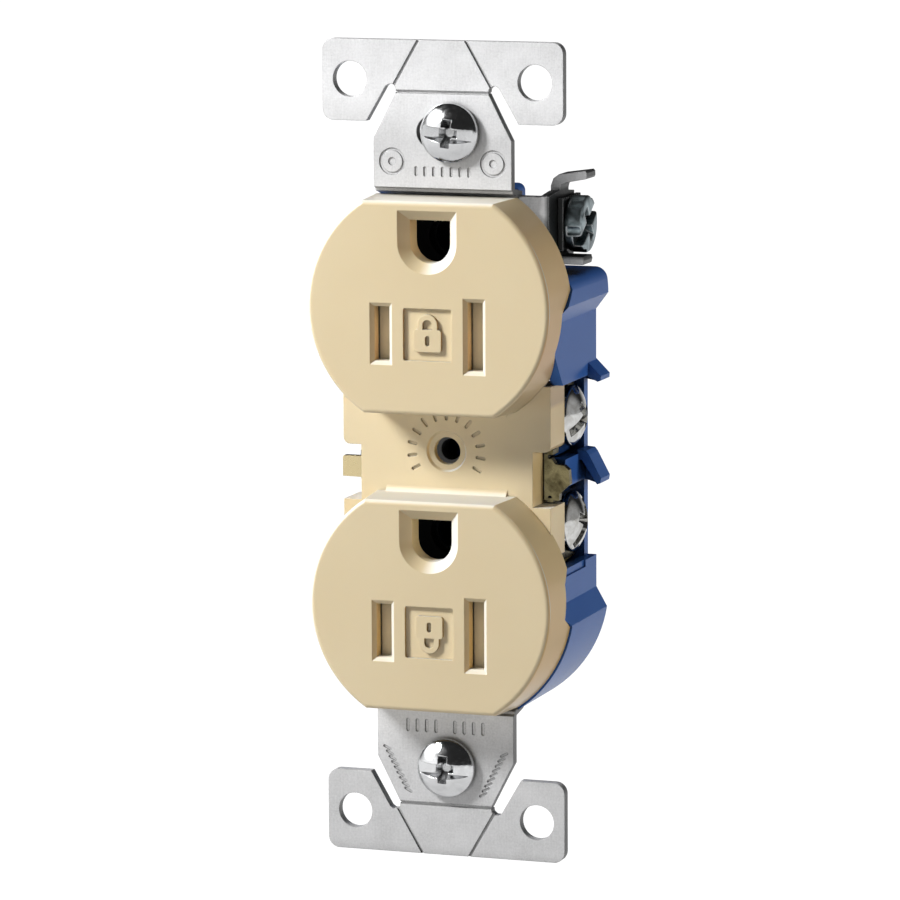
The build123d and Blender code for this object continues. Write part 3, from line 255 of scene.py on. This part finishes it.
def right_side_painted_light(s):
    """Painted light and shade on the right side walls: the caps vary up their height, the body is
    even.
    """
    cap = s.span(Z, [(-6.6, 1.0), (-6.0, 0.0), (6.0, 0.0), (6.6, 1.0)])
    caps = s.span(Z, [(-32, (1.24, 0.92, 0.52)), (-24, (1.02, 0.79, 0.42)),
                      (-19, (1.20, 0.98, 0.66)), (-13, (1.36, 1.22, 1.00)),
                      (-8, (1.62, 1.48, 1.22)), (6, (0.82, 0.68, 0.54)),
                      (10, (0.94, 0.74, 0.46)), (14, (1.06, 0.78, 0.52)),
                      (20, (1.14, 0.92, 0.66)), (24, (1.36, 1.16, 0.94)),
                      (29, (1.36, 1.16, 0.96)), (33, (1.06, 0.86, 0.66))])
    return s.mix(cap, (1.24, 1.08, 0.80), caps)


# Painted light and shade on the ivory, and its subsurface.
def ivory_painted_light(s, col, dark, light):
    # painted light: the low bridge between the two faces is made paler
    bridge = s.times(s.span(Z, [(-7.0, 0.0), (-5.5, 1.0), (5.5, 1.0), (7.0, 0.0)]),
                     s.span(Y, [(-4.0, 0.0), (-2.5, 1.0)]))
    col = s.mix(s.times(bridge, 0.9), col, light)
    # painted shade: a little darker towards the bottom, as the light falls off
    col = s.tint(col, s.span(Z, [(-36, 0.965), (-4, 0.955), (6, 1.0), (36, 0.985)]))
    # painted highlight: walls facing the key are lifted to near white
    col = s.mix(s.times(key_facing_painted_highlight(s), 0.96), col, srgb(255, 254, 248))
    # painted shade: rounded front edges on the right, turned from the key, are darker
    roll = s.times(s.turned(Y, [(-0.92, 0.0), (-0.75, 1.0), (-0.45, 1.0), (-0.30, 0.0)]),
                   s.turned(X, [(0.25, 0.0), (0.5, 1.0)]), 0.35)
    col = s.mix(roll, col, dark)
    # painted light and shade on the right side walls
    side = s.facing((1, 0, 0), low=0.55, high=0.9)
    col = s.mix(side, col, s.tint(col, right_side_painted_light(s)))
    s.put("Subsurface Weight", 0.10)
    s.put("Subsurface Radius", (1.0, 0.7, 0.4))
    s.put("Subsurface Scale", 0.0008)
    # painted highlight: the thin rim line is mixed in near white
    return s.mix(s.times(rim_light(s), 0.9), col, (1.0, 0.97, 0.88))


# ------------------------------------------------------------------ metals


def galvanised(name):
    """The zinc-coated strap and the ground clamp."""
    s = Shader(name)
    vec = s.scaled()
    fine = s.noise(3.4, detail=5.0, rough=0.7, vec=vec)
    broad = s.noise(0.30, vec=vec)
    streak = s.noise(1.0, detail=4.0, rough=0.6, vec=s.scaled(4.5, 4.5, 0.40))
    cross = s.noise(1.0, detail=4.0, rough=0.6, vec=s.scaled(0.5, 4.5, 4.0))
    mottle = s.tint(s.ramp(fine, [(0.3, 0.78), (0.7, 1.0)]),
                    s.ramp(streak, [(0.3, 0.80), (0.7, 1.0)]), factor=0.5)
    mottle = s.tint(mottle, s.ramp(cross, [(0.3, 0.80), (0.7, 1.0)]), factor=0.35)
    col = s.tint((0.90, 0.90, 0.905), mottle)
    col = s.mix(s.ramp(broad, [(0.35, 0.0), (0.7, 0.35)]), col, (0.95, 0.95, 0.96))
    col = s.mix(s.times(s.dots(1.1, size=0.10), 0.30), col, (0.25, 0.25, 0.25))
    # the brightness varies up the strap and is lowest at the bottom
    col = s.tint(col, s.span(Z, [(-54, 0.78), (-40, 0.84), (-36, 1.0), (34, 0.92),
                                 (40, 0.83), (46, 1.08), (54, 0.96)]))
    # painted shade: faces turned to the right, away from the key, and the ground tab are much
    # darker
    right_facing_shade = s.facing((1, 0.1, 0), low=0.35, high=0.8)
    col = s.mix(s.times(right_facing_shade, 0.80), col, (0.10, 0.10, 0.098))
    tab = s.span(Y, [(2.0, 0.0), (4.5, 1.0)])
    col = s.mix(s.times(tab, 0.35), col, (0.16, 0.165, 0.165))
    # painted shade and highlight: around the ground clamp the faces are near black, with bright
    # edges
    plate = s.times(s.span(X, [(12.7, 0.0), (13.3, 1.0)]),
                    s.span(Z, [(24.9, 0.0), (25.4, 1.0), (33.8, 1.0), (34.3, 0.0)]))
    col = s.mix(s.times(plate, 0.9), col, (0.012, 0.014, 0.014))
    # painted shade: the middle of the strap, only seen down the holes in the face, is near black
    buried_painted_shade = s.times(s.span(X, [(-8.2, 0.0), (-7.8, 1.0), (7.8, 1.0), (8.2, 0.0)]),
                     s.span(Y, [(2.2, 0.0), (2.6, 1.0)]))
    col = s.mix(s.times(buried_painted_shade, 0.96), col, (0.02, 0.018, 0.015))
    soft_normal = s.bevel(0.16)
    rim = s.edges(soft_normal, high=0.2)
    # edges are darkened off the clamp; on the clamp they get a painted highlight
    off_plate = s.ramp(plate, [(0.0, 0.75), (1.0, 0.0)])
    col = s.mix(s.times(rim, off_plate), col, (0.16, 0.16, 0.16))
    col = s.mix(s.times(rim, plate, 0.8), col, (0.75, 0.76, 0.76))
    # painted shade: corners and the ground-pin wells are darkened
    col = s.mix(s.open_sky(3.0, low=0.05, high=0.6), (0.10, 0.10, 0.098), col)
    s.put("Base Color", s.wells(col))
    s.put("Metallic", s.ramp(tab, [(0.0, 0.25), (1.0, 0.85)]))
    s.put("Roughness", s.ramp(fine, [(0.25, 0.56), (0.75, 0.36)]))
    relief = s.math("ADD", fine, s.times(streak, 0.6))
    s.put("Normal", s.bump(relief, 0.014, soft_normal))
    return s.mat


def metal(name, base, dark, rough, bump=0.004, spots=0.2, scale=2.5, deep=0.0, shade=0.05,
          edge=None, rim=0.09, painted_light_pass=None):
    """Plain metal: spots is the strength of the dark film, scale that of the fine grain, deep
    the reach of the painted hole shade and shade its threshold, edge the (strength, colour)
    of edges: wear on the tarnished brass, a painted highlight on the green screw, rim their
    radius, and the last argument adds painted light and shade to the colour."""
    s = Shader(name)
    fine = s.noise(scale, detail=4.0, rough=0.6)
    film = s.noise(0.55, rough=0.6, distort=0.6)
    col = s.mix(s.ramp(film, [(0.42, 0.0), (0.70, spots)]), base, dark)
    soft_normal = s.bevel(rim)
    # edge colour: wear on the tarnished brass, a painted highlight on the green screw
    if edge:
        strength, edge_colour = edge
        col = s.mix(s.times(s.edges(soft_normal), strength), col, edge_colour)
    # painted shade: holes and recesses are darkened
    if deep:
        col = s.mix(s.open_sky(deep, shade, shade + 0.5), (0.01, 0.01, 0.008), col)
    if painted_light_pass:
        col = painted_light_pass(s, col)
    s.put("Base Color", col)
    s.put("Metallic", 1.0)
    s.put("Roughness", s.ramp(fine, [(0.3, rough + 0.08), (0.7, rough - 0.04)]))
    s.put("Normal", s.bump(fine, bump, soft_normal))
    return s.mat


def dome_painted_reflection(s, col):
    # painted reflection: the underside of each dome is greyed where it would mirror the grey bench
    return s.mix(s.turned(Z, [(-0.45, 0.42), (-0.02, 0.0)]), col, (0.30, 0.30, 0.305))


def brass_pale_tab_and_well_shade(s, col):
    # the link tab on the left is coloured paler than the rest, and the wells get their painted
    # shade
    tab = s.times(s.span(X, [(-13.5, 1.0), (-12.8, 0.0)]), 0.9)
    return s.mix(tab, s.wells(col), srgb(226, 208, 162))


MAT = {
    "ivory": plastic(
        "ivory_plastic", base=srgb(226, 207, 168), dark=srgb(206, 184, 142),
        light=srgb(231, 214, 177), deep=srgb(70, 58, 38), rough=0.30, coat=0.22,
        sky=(2.2, 0.0, 0.5), marks=0.0, painted_light_pass=ivory_painted_light),
    # painted shade: deep inside, the blue body goes near black
    "blue": plastic(
        "blue_plastic", base=srgb(66, 114, 194), dark=srgb(50, 90, 162),
        light=srgb(79, 129, 206), deep=srgb(3, 4, 8), rough=0.22, coat=0.04,
        sky=(9.0, 0.22, 0.60), marks=0.05, specular=0.08),
    "galvanised": galvanised("galvanised_steel"),
    "brass": metal(
        "brass", base=srgb(206, 182, 128), dark=srgb(140, 118, 74), rough=0.28, spots=0.5,
        deep=8.0, shade=0.4, painted_light_pass=brass_pale_tab_and_well_shade),
    "brass_dark": metal(
        "brass_tarnished", base=srgb(132, 122, 88), dark=srgb(58, 50, 30), rough=0.27,
        bump=0.012, spots=0.9, scale=1.4, deep=4.0, edge=(0.5, srgb(190, 180, 150))),
    "steel": metal(
        "plain_steel", base=srgb(170, 172, 174), dark=srgb(110, 110, 112), rough=0.35,
        deep=6.0),
    "chrome": metal(
        "bright_plate", base=srgb(236, 237, 238), dark=srgb(190, 190, 192), rough=0.12,
        bump=0.008, spots=0.35, scale=1.8, deep=1.4, shade=0.25, painted_light_pass=dome_painted_reflection),
    "fibre": plastic(
        "pressed_fibre", base=srgb(150, 132, 104), dark=srgb(108, 92, 70),
        light=srgb(168, 150, 122), deep=srgb(40, 34, 26), rough=0.8, coat=0.0, bump=0.04),
    "brass_screw": metal(
        "brass_plate", base=srgb(226, 200, 138), dark=srgb(160, 132, 76), rough=0.14),
    "nickel": metal(
        "nickel_plate", base=srgb(226, 226, 224), dark=srgb(120, 110, 86), rough=0.11,
        bump=0.02, spots=0.45, scale=1.3),
    # its edges get a painted white highlight
    "green_steel": metal(
        "green_steel", base=srgb(176, 190, 194), dark=srgb(52, 62, 64), rough=0.34,
        bump=0.014, spots=0.85, scale=1.8, deep=2.0, shade=0.22,
        edge=(1.0, (1.0, 1.0, 1.0)), rim=0.22),
    # the ground screw's bevels, coloured bright as a painted highlight
    "green_edge": metal(
        "green_steel_painted_edge_highlight", base=(0.85, 0.88, 0.88), dark=srgb(120, 132, 134),
        rough=0.38, bump=0.014, spots=0.5, scale=1.8),
    "shutter": plastic(
        "shutter_plastic", base=srgb(214, 194, 154), dark=srgb(190, 170, 132),
        light=srgb(238, 220, 182), deep=srgb(70, 60, 44), rough=0.4, coat=0.0,
        sky=(3.0, 0.0, 0.45), marks=0.1, well_front=-4.6),
    "spring": metal(
        "spring_steel", base=srgb(186, 188, 190), dark=srgb(120, 120, 122), rough=0.25,
        deep=4.0),
}

slot_of = {part["node"]: part["material_slot"] for part in frame["record"]["subparts"]}
for name, obj in nodes.items():
    obj.data.materials.clear()
    obj.data.materials.append(MAT[slot_of[name]])

# the screws would otherwise mirror the face as a broad ivory band
nodes["face_cover"].visible_glossy = False

# ------------------------------------------------------------------ mesh helpers


def new_object(name, bm):
    mesh = bpy.data.meshes.new(name)
    bmesh.ops.recalc_face_normals(bm, faces=bm.faces)
    bm.to_mesh(mesh)
    bm.free()
    obj = bpy.data.objects.new(name, mesh)
    scene.collection.objects.link(obj)
    return obj


def add_ring(bm, points):
    return [bm.verts.new(point) for point in points]


def bridge(bm, ring, following):
    """Faces between two rings; either may be a single point on the axis."""
    count = max(len(ring), len(following))
    for i in range(count):
        j = (i + 1) % count
        if len(ring) == 1:
            bm.faces.new((ring[0], following[i], following[j]))
        elif len(following) == 1:
            bm.faces.new((ring[i], ring[j], following[0]))
        else:
            bm.faces.new((ring[i], ring[j], following[j], following[i]))


def circle(radius, z, segs):
    angles = [2 * math.pi * i / segs for i in range(segs)]
    return [(radius * math.cos(a), radius * math.sin(a), z) for a in angles]


def revolve(profile, segs):
    """Closed solid turned about +Z from (radius, height) points that start and end on the axis."""
    bm = bmesh.new()
    rings = [add_ring(bm, [(0, 0, z)] if r < 1e-6 else circle(r, z, segs))
             for r, z in profile]
    for ring, following in zip(rings, rings[1:]):
        bridge(bm, ring, following)
    return bm


def cylinder(radius, z0, z1, segs):
    return revolve([(0, z0), (radius, z0), (radius, z1), (0, z1)], segs)


def prism(low_points, top_points):
    bm = bmesh.new()
    low = add_ring(bm, low_points)
    top = add_ring(bm, top_points)
    bm.faces.new(low[::-1])
    bm.faces.new(top)
    bridge(bm, low, top)
    return bm


def tube(point_rings):
    bm = bmesh.new()
    rings = [add_ring(bm, points) for points in point_rings]
    for ring, following in zip(rings, rings[1:]):
        bridge(bm, ring, following)
    bm.faces.new(rings[0])
    bm.faces.new(rings[-1][::-1])
    return bm


def loft_box(start, end, turn=0.0, shift=0.0):
    """Four-sided taper between two (x size, y size, z) rectangles, the end moved in y."""
    rot = Matrix.Rotation(turn, 3, "Z")
    corners = ((-1, -1), (1, -1), (1, 1), (-1, 1))

    def rectangle(size_x, size_y, z, offset):
        return [rot @ Vector((x * size_x / 2, y * size_y / 2 + offset, z)) for x, y in corners]

    return prism(rectangle(*start, 0.0), rectangle(*end, shift))


def cutter(bm, x=0.0, y=0.0):
    obj = new_object("cutter", bm)
    obj.data.transform(Matrix.Translation((x, y, 0)))
    return obj


def bake(obj):
    """Applies the object's modifiers to its mesh."""
    deps = bpy.context.evaluated_depsgraph_get()
    mesh = bpy.data.meshes.new_from_object(obj.evaluated_get(deps))
    obj.modifiers.clear()
    obj.data = mesh


def cut(obj, cutters):
    for tool in cutters:
        mod = obj.modifiers.new("cut", "BOOLEAN")
        mod.operation = "DIFFERENCE"
        mod.solver = "EXACT"
        mod.object = tool
    bake(obj)
    for tool in cutters:
        bpy.data.objects.remove(tool)


def soften(obj, width, segments, edge_slot=-1):
    """Bevels sharp edges; edge_slot is the material slot of the bevels, -1 for the faces' own."""
    mod = obj.modifiers.new("soft", "BEVEL")
    mod.material = edge_slot
    mod.width = width
    mod.segments = segments
    mod.limit_method = "ANGLE"
    mod.angle_limit = math.radians(32)
    mod.use_clamp_overlap = True
    bake(obj)


def merge(target, bm):
    """Adds bm to an object's mesh as its own island."""
    mesh = bpy.data.meshes.new("island")
    bmesh.ops.recalc_face_normals(bm, faces=bm.faces)
    bm.to_mesh(mesh)
    bm.free()
    joined = bmesh.new()
    joined.from_mesh(target.data)
    joined.from_mesh(mesh)
    joined.to_mesh(target.data)
    joined.free()
    bpy.data.meshes.remove(mesh)


def place(obj, matrix, node, body, slot, smooth_deg=32):
    """Shades a millimetre mesh, scales it into the CAD frame and makes it stand for its node."""
    mesh = obj.data
    mesh.shade_smooth()
    mesh.set_sharp_from_angle(angle=math.radians(smooth_deg))
    mod = obj.modifiers.new("normals", "WEIGHTED_NORMAL")
    mod.keep_sharp = True
    mod.weight = 80
    mesh.transform(matrix @ Matrix.Scale(MM, 4))
    # a mesh with two materials already has its own, and clearing would lose its face slots
    if len(mesh.materials) < 2:
        mesh.materials.clear()
        mesh.materials.append(MAT[slot])
    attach(obj, body)
    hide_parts(node)


def frame_matrix(origin, x_dir, z_dir):
    z = Vector(z_dir).normalized()
    x = Vector(x_dir).normalized()
    y = z.cross(x)
    return Matrix.Translation(Vector(origin) * MM) @ Matrix((x, y, z)).transposed().to_4x4()


# ------------------------------------------------------------------ screws
# Each screw is modelled with its head above z = 0 and its shank down -Z.

THREAD_PITCH = 0.794
THREAD_DEPTH = 0.30
THREAD_SEGS = 32
STEPS_PER_TURN = 8
TIP_LENGTH = 0.6
HEAD_SEGS = 96
DOME_STEPS = 11


def thread(major_r, length, start):
    """A threaded shank running down -Z from start, as a closed solid."""
    steps = int(length / THREAD_PITCH * STEPS_PER_TURN)
    rings = []
    for k in range(steps + 1):
        z = -length * k / steps
        left = length + z
        # the thread runs out at both ends
        fade = min(1.0, -z / (0.7 * THREAD_PITCH),
                   max(0.0, left / (1.1 * THREAD_PITCH)) + 0.15)
        ring = []
        for i in range(THREAD_SEGS):
            angle = 2 * math.pi * i / THREAD_SEGS
            phase = (z / THREAD_PITCH + i / THREAD_SEGS) % 1.0
            tooth = max(0.0, 1.0 - abs(phase - 0.5) / 0.42)
            r = major_r - THREAD_DEPTH * (1 - min(1.0, tooth * 1.12) * fade)
            if left < TIP_LENGTH:
                r -= (TIP_LENGTH - left) * 0.75
            ring.append((r * math.cos(angle), r * math.sin(angle), start + z))
        rings.append(ring)
    return tube(rings)


def dome_profile(r, rim, top):
    """Truss-head outline from the underside, over the rim, to the crown."""
    shoulder = rim + 0.12
    points = [(0.0, 0.0), (r - 0.28, 0.0), (r - 0.08, 0.07), (r, 0.24), (r, rim),
              (r - 0.03, shoulder), (r - 0.10, shoulder + 0.09)]
    for k in range(1, DOME_STEPS):
        u = (1 - k / DOME_STEPS) ** 0.8
        points.append(((r - 0.12) * u,
                       shoulder + 0.12 + (top - shoulder - 0.12) * (1 - u * u)))
    return points + [(0.0, top)]


def combo_screw(name, r, rim, top, slot_w, slot_floor, cross_w, cross_l, shank_r, length,
                lean=0.0):
    """Domed head with a slot and a cross; lean widens the slot's mouth to one side."""
    head = new_object(name, revolve(dome_profile(r, rim, top), HEAD_SEGS))
    slot_l = 2 * r + 2
    cross_floor = slot_floor - 0.95
    cross_top = top + 0.05
    cut(head, [
        cutter(loft_box((slot_l, slot_w * 0.94, slot_floor),
                        (slot_l, slot_w * 1.04 + lean, top + 1.0), shift=-lean / 2)),
        cutter(loft_box((1.1, 0.75, cross_floor), (cross_l, cross_w, cross_top))),
        cutter(loft_box((0.75, 1.1, cross_floor), (cross_w, cross_l, cross_top))),
    ])
    soften(head, width=0.075, segments=2)
    merge(head, thread(shank_r, length, start=0.05))
    return head


# box screws at the strap's two ends: where, x, z, turn in degrees
BOX_SCREWS = [("upper", 1.2, 41.67, -5.0), ("lower", 0.3, -41.67, -2.0)]
for where, x, z, turn in BOX_SCREWS:
    angle = math.radians(turn)
    screw = combo_screw(f"box_screw_{where}", r=3.9, rim=0.7, top=2.45, slot_w=1.5,
                        slot_floor=1.22, cross_w=1.3, cross_l=4.3, shank_r=1.72,
                        length=16.4, lean=0.9)
    place(screw, frame_matrix((x, -0.12, z), (math.cos(angle), 0, math.sin(angle)), (0, -1, 0)),
          f"mounting_screw_{where}", f"{where}_box_screw", "chrome")

# binding screws on the sides: side, outward x, where, z, turn in degrees, slot
BINDING_SCREWS = [
    ("hot", -1, "upper", 3.95, 20, "brass_screw"),
    ("hot", -1, "lower", -10.1, 75, "brass_screw"),
    ("neutral", 1, "upper", 3.95, 35, "nickel"),
    ("neutral", 1, "lower", -10.1, 62, "nickel"),
]
for side, outward, where, z, turn, slot in BINDING_SCREWS:
    angle = math.radians(turn)
    screw = combo_screw(f"{side}_binding_{where}", r=4.0, rim=0.8, top=2.5, slot_w=1.4,
                        slot_floor=1.25, cross_w=1.35, cross_l=4.4, shank_r=2.05,
                        length=4.85)
    place(screw, frame_matrix((outward * 13.3, 11.15, z), (0, math.cos(angle), math.sin(angle)),
                              (outward, 0, 0)),
          f"{side}_terminal_screw_{where}", f"{side}_{where}_binding", slot)

# (radius, height) of the ground screw's drum head
DRUM_PROFILE = [(0, 0), (3.45, 0), (3.62, 0.12), (3.70, 0.34), (3.72, 2.0), (3.6, 2.22),
                (3.34, 2.34), (0, 2.35)]
FLUTES = 6
FLUTE_RING_R = 4.3


def ground_screw():
    """Fluted drum head with a wide slot and a cross; its bevels get a bright painted-highlight
    material.
    """
    head = new_object("ground_terminal_screw", revolve(DRUM_PROFILE, HEAD_SEGS))
    cutters = []
    for k in range(FLUTES):
        angle = math.radians(10 + 360 // FLUTES * k)
        cutters.append(cutter(cylinder(0.92, 0.45, 4, segs=28),
                              FLUTE_RING_R * math.cos(angle), FLUTE_RING_R * math.sin(angle)))
    turn = math.radians(33)
    for start, end in (((10, 1.5, 1.15), (10, 1.75, 3.4)),
                       ((1.3, 0.9, 0.45), (4.6, 1.6, 2.45)),
                       ((0.9, 1.3, 0.45), (1.6, 4.9, 2.45))):
        cutters.append(cutter(loft_box(start, end, turn)))
    cut(head, cutters)
    for key in ("green_steel", "green_edge"):
        head.data.materials.append(MAT[key])
    soften(head, width=0.10, segments=2, edge_slot=1)
    merge(head, thread(2.03, length=6.68, start=0.02))
    return head


# for both ground pieces local x is +Y and local y is +Z
place(ground_screw(), frame_matrix((14.3, 10.0, 29.3), (0, 1, 0), (1, 0, 0)), "ground_screw",
      "ground_binding", "green_steel")

CLAMP_W, CLAMP_H, CLAMP_T = 7.4, 6.9, 0.7
CLAMP_STEPS = 18
NOTCH_DEPTH = 0.36
CORNER_DROP = 0.4


def ground_clamp():
    """Pressure plate with notched long edges, a bore, and grooves across its inner face."""
    right, top = CLAMP_W / 2, CLAMP_H / 2
    half = [(-right + CLAMP_W * k / CLAMP_STEPS, top - (NOTCH_DEPTH if k % 2 else 0.0))
            for k in range(CLAMP_STEPS + 1)]
    half += [(right, top - CORNER_DROP), (right, -top + CORNER_DROP)]
    outline = half + [(-x, -y) for x, y in half]
    clamp = new_object("ground_pressure_plate", prism([(x, y, 0.0) for x, y in outline],
                                                      [(x, y, CLAMP_T) for x, y in outline]))
    bore = cutter(cylinder(2.12, -1, 2, segs=48), -0.1, -0.2)
    grooves = [cutter(loft_box((0.02, 9, 0.22), (0.55, 9, -0.2)), -3.15 + 0.9 * k)
               for k in range(8)]
    cut(clamp, [bore] + grooves)
    soften(clamp, width=0.05, segments=1)
    return clamp


place(ground_clamp(), frame_matrix((13.55, 10.1, 29.5), (0, 1, 0), (1, 0, 0)), "ground_clamp",
      "ground_plate", "galvanised")

# ------------------------------------------------------------------ shutter springs

SPRINGS = [("upper", 16.05), ("lower", -22.85)]  # where, z
ANCHOR_X, ANCHOR_Y = 0.00045, -0.0034  # still end of the squash, metres
SPRING_START_X = -4.45
SPRING_LENGTH = 4.75
SPRING_TURNS = 6.6
SPRING_R = 0.40
WIRE_R = 0.13
WIRE_SEGS = 10
STEPS_PER_COIL = 28


def coil(name, z):
    """A helical spring along +X."""
    count = int(SPRING_TURNS * STEPS_PER_COIL)
    advance = SPRING_LENGTH / (2 * math.pi * SPRING_TURNS)
    wire_angles = [2 * math.pi * i / WIRE_SEGS for i in range(WIRE_SEGS)]
    rings = []
    for k in range(count + 1):
        t = k / count
        angle = 2 * math.pi * SPRING_TURNS * t
        outward = Vector((0, math.cos(angle), math.sin(angle)))
        centre = Vector((SPRING_START_X + SPRING_LENGTH * t,
                         ANCHOR_Y / MM + SPRING_R * math.cos(angle),
                         z + SPRING_R * math.sin(angle)))
        tangent = Vector((advance, -SPRING_R * math.sin(angle),
                          SPRING_R * math.cos(angle))).normalized()
        across = tangent.cross(outward)
        rings.append([centre + WIRE_R * (outward * math.cos(a) + across * math.sin(a))
                      for a in wire_angles])
    return new_object(name, tube(rings))


for where, z in SPRINGS:
    spring = coil(f"return_spring_{where}", z)
    place(spring, Matrix.Identity(4), f"shutter_spring_{where}", "housing", "spring",
          smooth_deg=60)
    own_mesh(spring)

# ------------------------------------------------------------------ studio (metres)

FLOOR_SIZE = 8.0
FLOOR_Z = -0.0538
BACKDROP = 1.15  # brightness of the white the camera sees

scene.view_settings.view_transform = "Standard"
scene.view_settings.look = "None"
scene.view_settings.exposure = 0.0
scene.view_settings.gamma = 1.0


def floor_paper():
    """Grey paper for diffuse light that the camera sees as nearly pure white."""
    s = Shader("floor_paper")
    s.put("Base Color", s.ramp(s.noise(0.02, detail=2.0), [(0.3, 0.50), (0.7, 0.54)]))
    s.put("Roughness", 0.9)
    rays = s.add("LightPath", {}).outputs
    glow = s.add("Emission", {"Color": (1, 1, 1), "Strength": BACKDROP})
    white = s.math("ADD", s.times(rays["Is Camera Ray"], 0.93),
                   s.times(rays["Is Glossy Ray"], 0.60))
    mixer = s.add("MixShader", {0: white, 1: s.bsdf.outputs[0], 2: glow.outputs[0]})
    s.feed(s.out.inputs["Surface"], mixer.outputs[0])
    return s.mat


bpy.ops.mesh.primitive_grid_add(x_subdivisions=8, y_subdivisions=8, size=FLOOR_SIZE,
                                location=(0, 0, FLOOR_Z))
floor = bpy.context.object
floor.name = "studio_floor"
floor.data.materials.append(floor_paper())

# bright patches seen only in reflections: direction, ramp start, ramp end, strength
REFLECTIONS = [
    ((-0.70, -0.62, -0.25), 0.64, 0.84, 1.05),  # soft box, front left
    ((-0.84, -0.33, 0.44), 0.94, 0.99, 2.0),    # window, upper left
    ((-0.1, -0.2, -1.0), 0.05, 0.45, 0.55),     # below
    ((0.15, 0.93, -0.30), 0.84, 0.95, 0.50),    # behind
    ((1.0, 0.25, 0.05), 0.80, 0.95, 0.35),      # right
]
DARK_REFLECTION = 0.02
SOFT_LIGHT = 0.065  # even light on matt surfaces


def studio_world():
    world = bpy.data.worlds.new("studio")
    scene.world = world
    world.use_nodes = True
    w = Nodes(world.node_tree)
    coord = w.add("TexCoord", {}).outputs["Generated"]
    glossy = DARK_REFLECTION
    for direction, low, high, strength in REFLECTIONS:
        patch = w.ramp(w.dot(coord, Vector(direction).normalized()), [(low, 0.0), (high, 1.0)])
        glossy = w.math("ADD", glossy, w.times(patch, strength))
    rays = w.add("LightPath", {}).outputs
    glossy_ray = rays["Is Glossy Ray"]
    level = w.math("ADD", w.times(glossy, glossy_ray),
                   w.times(SOFT_LIGHT, w.math("SUBTRACT", 1.0, glossy_ray)))
    # past the floor's edge the camera sees the same white backdrop
    level = w.math("ADD", level, w.times(rays["Is Camera Ray"], BACKDROP))
    background = w.add("Background", {"Color": (1, 1, 1), "Strength": level})
    w.add("OutputWorld", {0: background.outputs[0]})


studio_world()


def polar(azimuth, elevation, distance=1.0):
    """A point seen from the object towards azimuth (right of front) and elevation, degrees."""
    a, e = math.radians(azimuth), math.radians(elevation)
    return Vector((distance * math.sin(a) * math.cos(e), -distance * math.cos(a) * math.cos(e),
                   distance * math.sin(e)))


def area_light(name, where, size, power, aim=(0, 0, 0), in_reflections=True):
    data = bpy.data.lights.new(name, "AREA")
    data.shape = "RECTANGLE"
    data.size, data.size_y = size
    data.energy = power
    light = bpy.data.objects.new(name, data)
    scene.collection.objects.link(light)
    light.location = where
    light.rotation_euler = (Vector(aim) - where).to_track_quat("-Z", "Y").to_euler()
    light.visible_glossy = in_reflections


area_light("key", polar(-50, 38, 0.50), size=(0.11, 0.11), power=3.30, aim=(0, 0, 0.01))
area_light("right_strip", polar(104, 4, 0.80), size=(0.22, 0.55), power=2.3,
           in_reflections=False)

CAMERA_AZIMUTH, CAMERA_ELEVATION, CAMERA_ROLL = 19.317, 8.6855, 0.3022  # degrees
CAMERA_TARGET = Vector((0.8405, 0.0, 0.3479)) * MM
CAMERA_DISTANCE = 0.69706
SENSOR_WIDTH = 36.0   # millimetres
FOCAL_LENGTH = 214.796  # millimetres


def add_camera():
    data = bpy.data.cameras.new("camera")
    data.sensor_width = SENSOR_WIDTH
    data.lens = FOCAL_LENGTH
    data.clip_end = 50
    camera = bpy.data.objects.new("camera", data)
    scene.collection.objects.link(camera)
    look = polar(CAMERA_AZIMUTH, CAMERA_ELEVATION)
    azimuth = math.radians(CAMERA_AZIMUTH)
    right = Vector((math.cos(azimuth), math.sin(azimuth), 0))
    basis = Matrix((right, look.cross(right), look)).transposed()
    roll = Matrix.Rotation(-math.radians(CAMERA_ROLL), 3, "Z")
    camera.location = CAMERA_TARGET + look * CAMERA_DISTANCE
    camera.matrix_world = Matrix.Translation(camera.location) @ (basis @ roll).to_4x4()
    scene.camera = camera


add_camera()
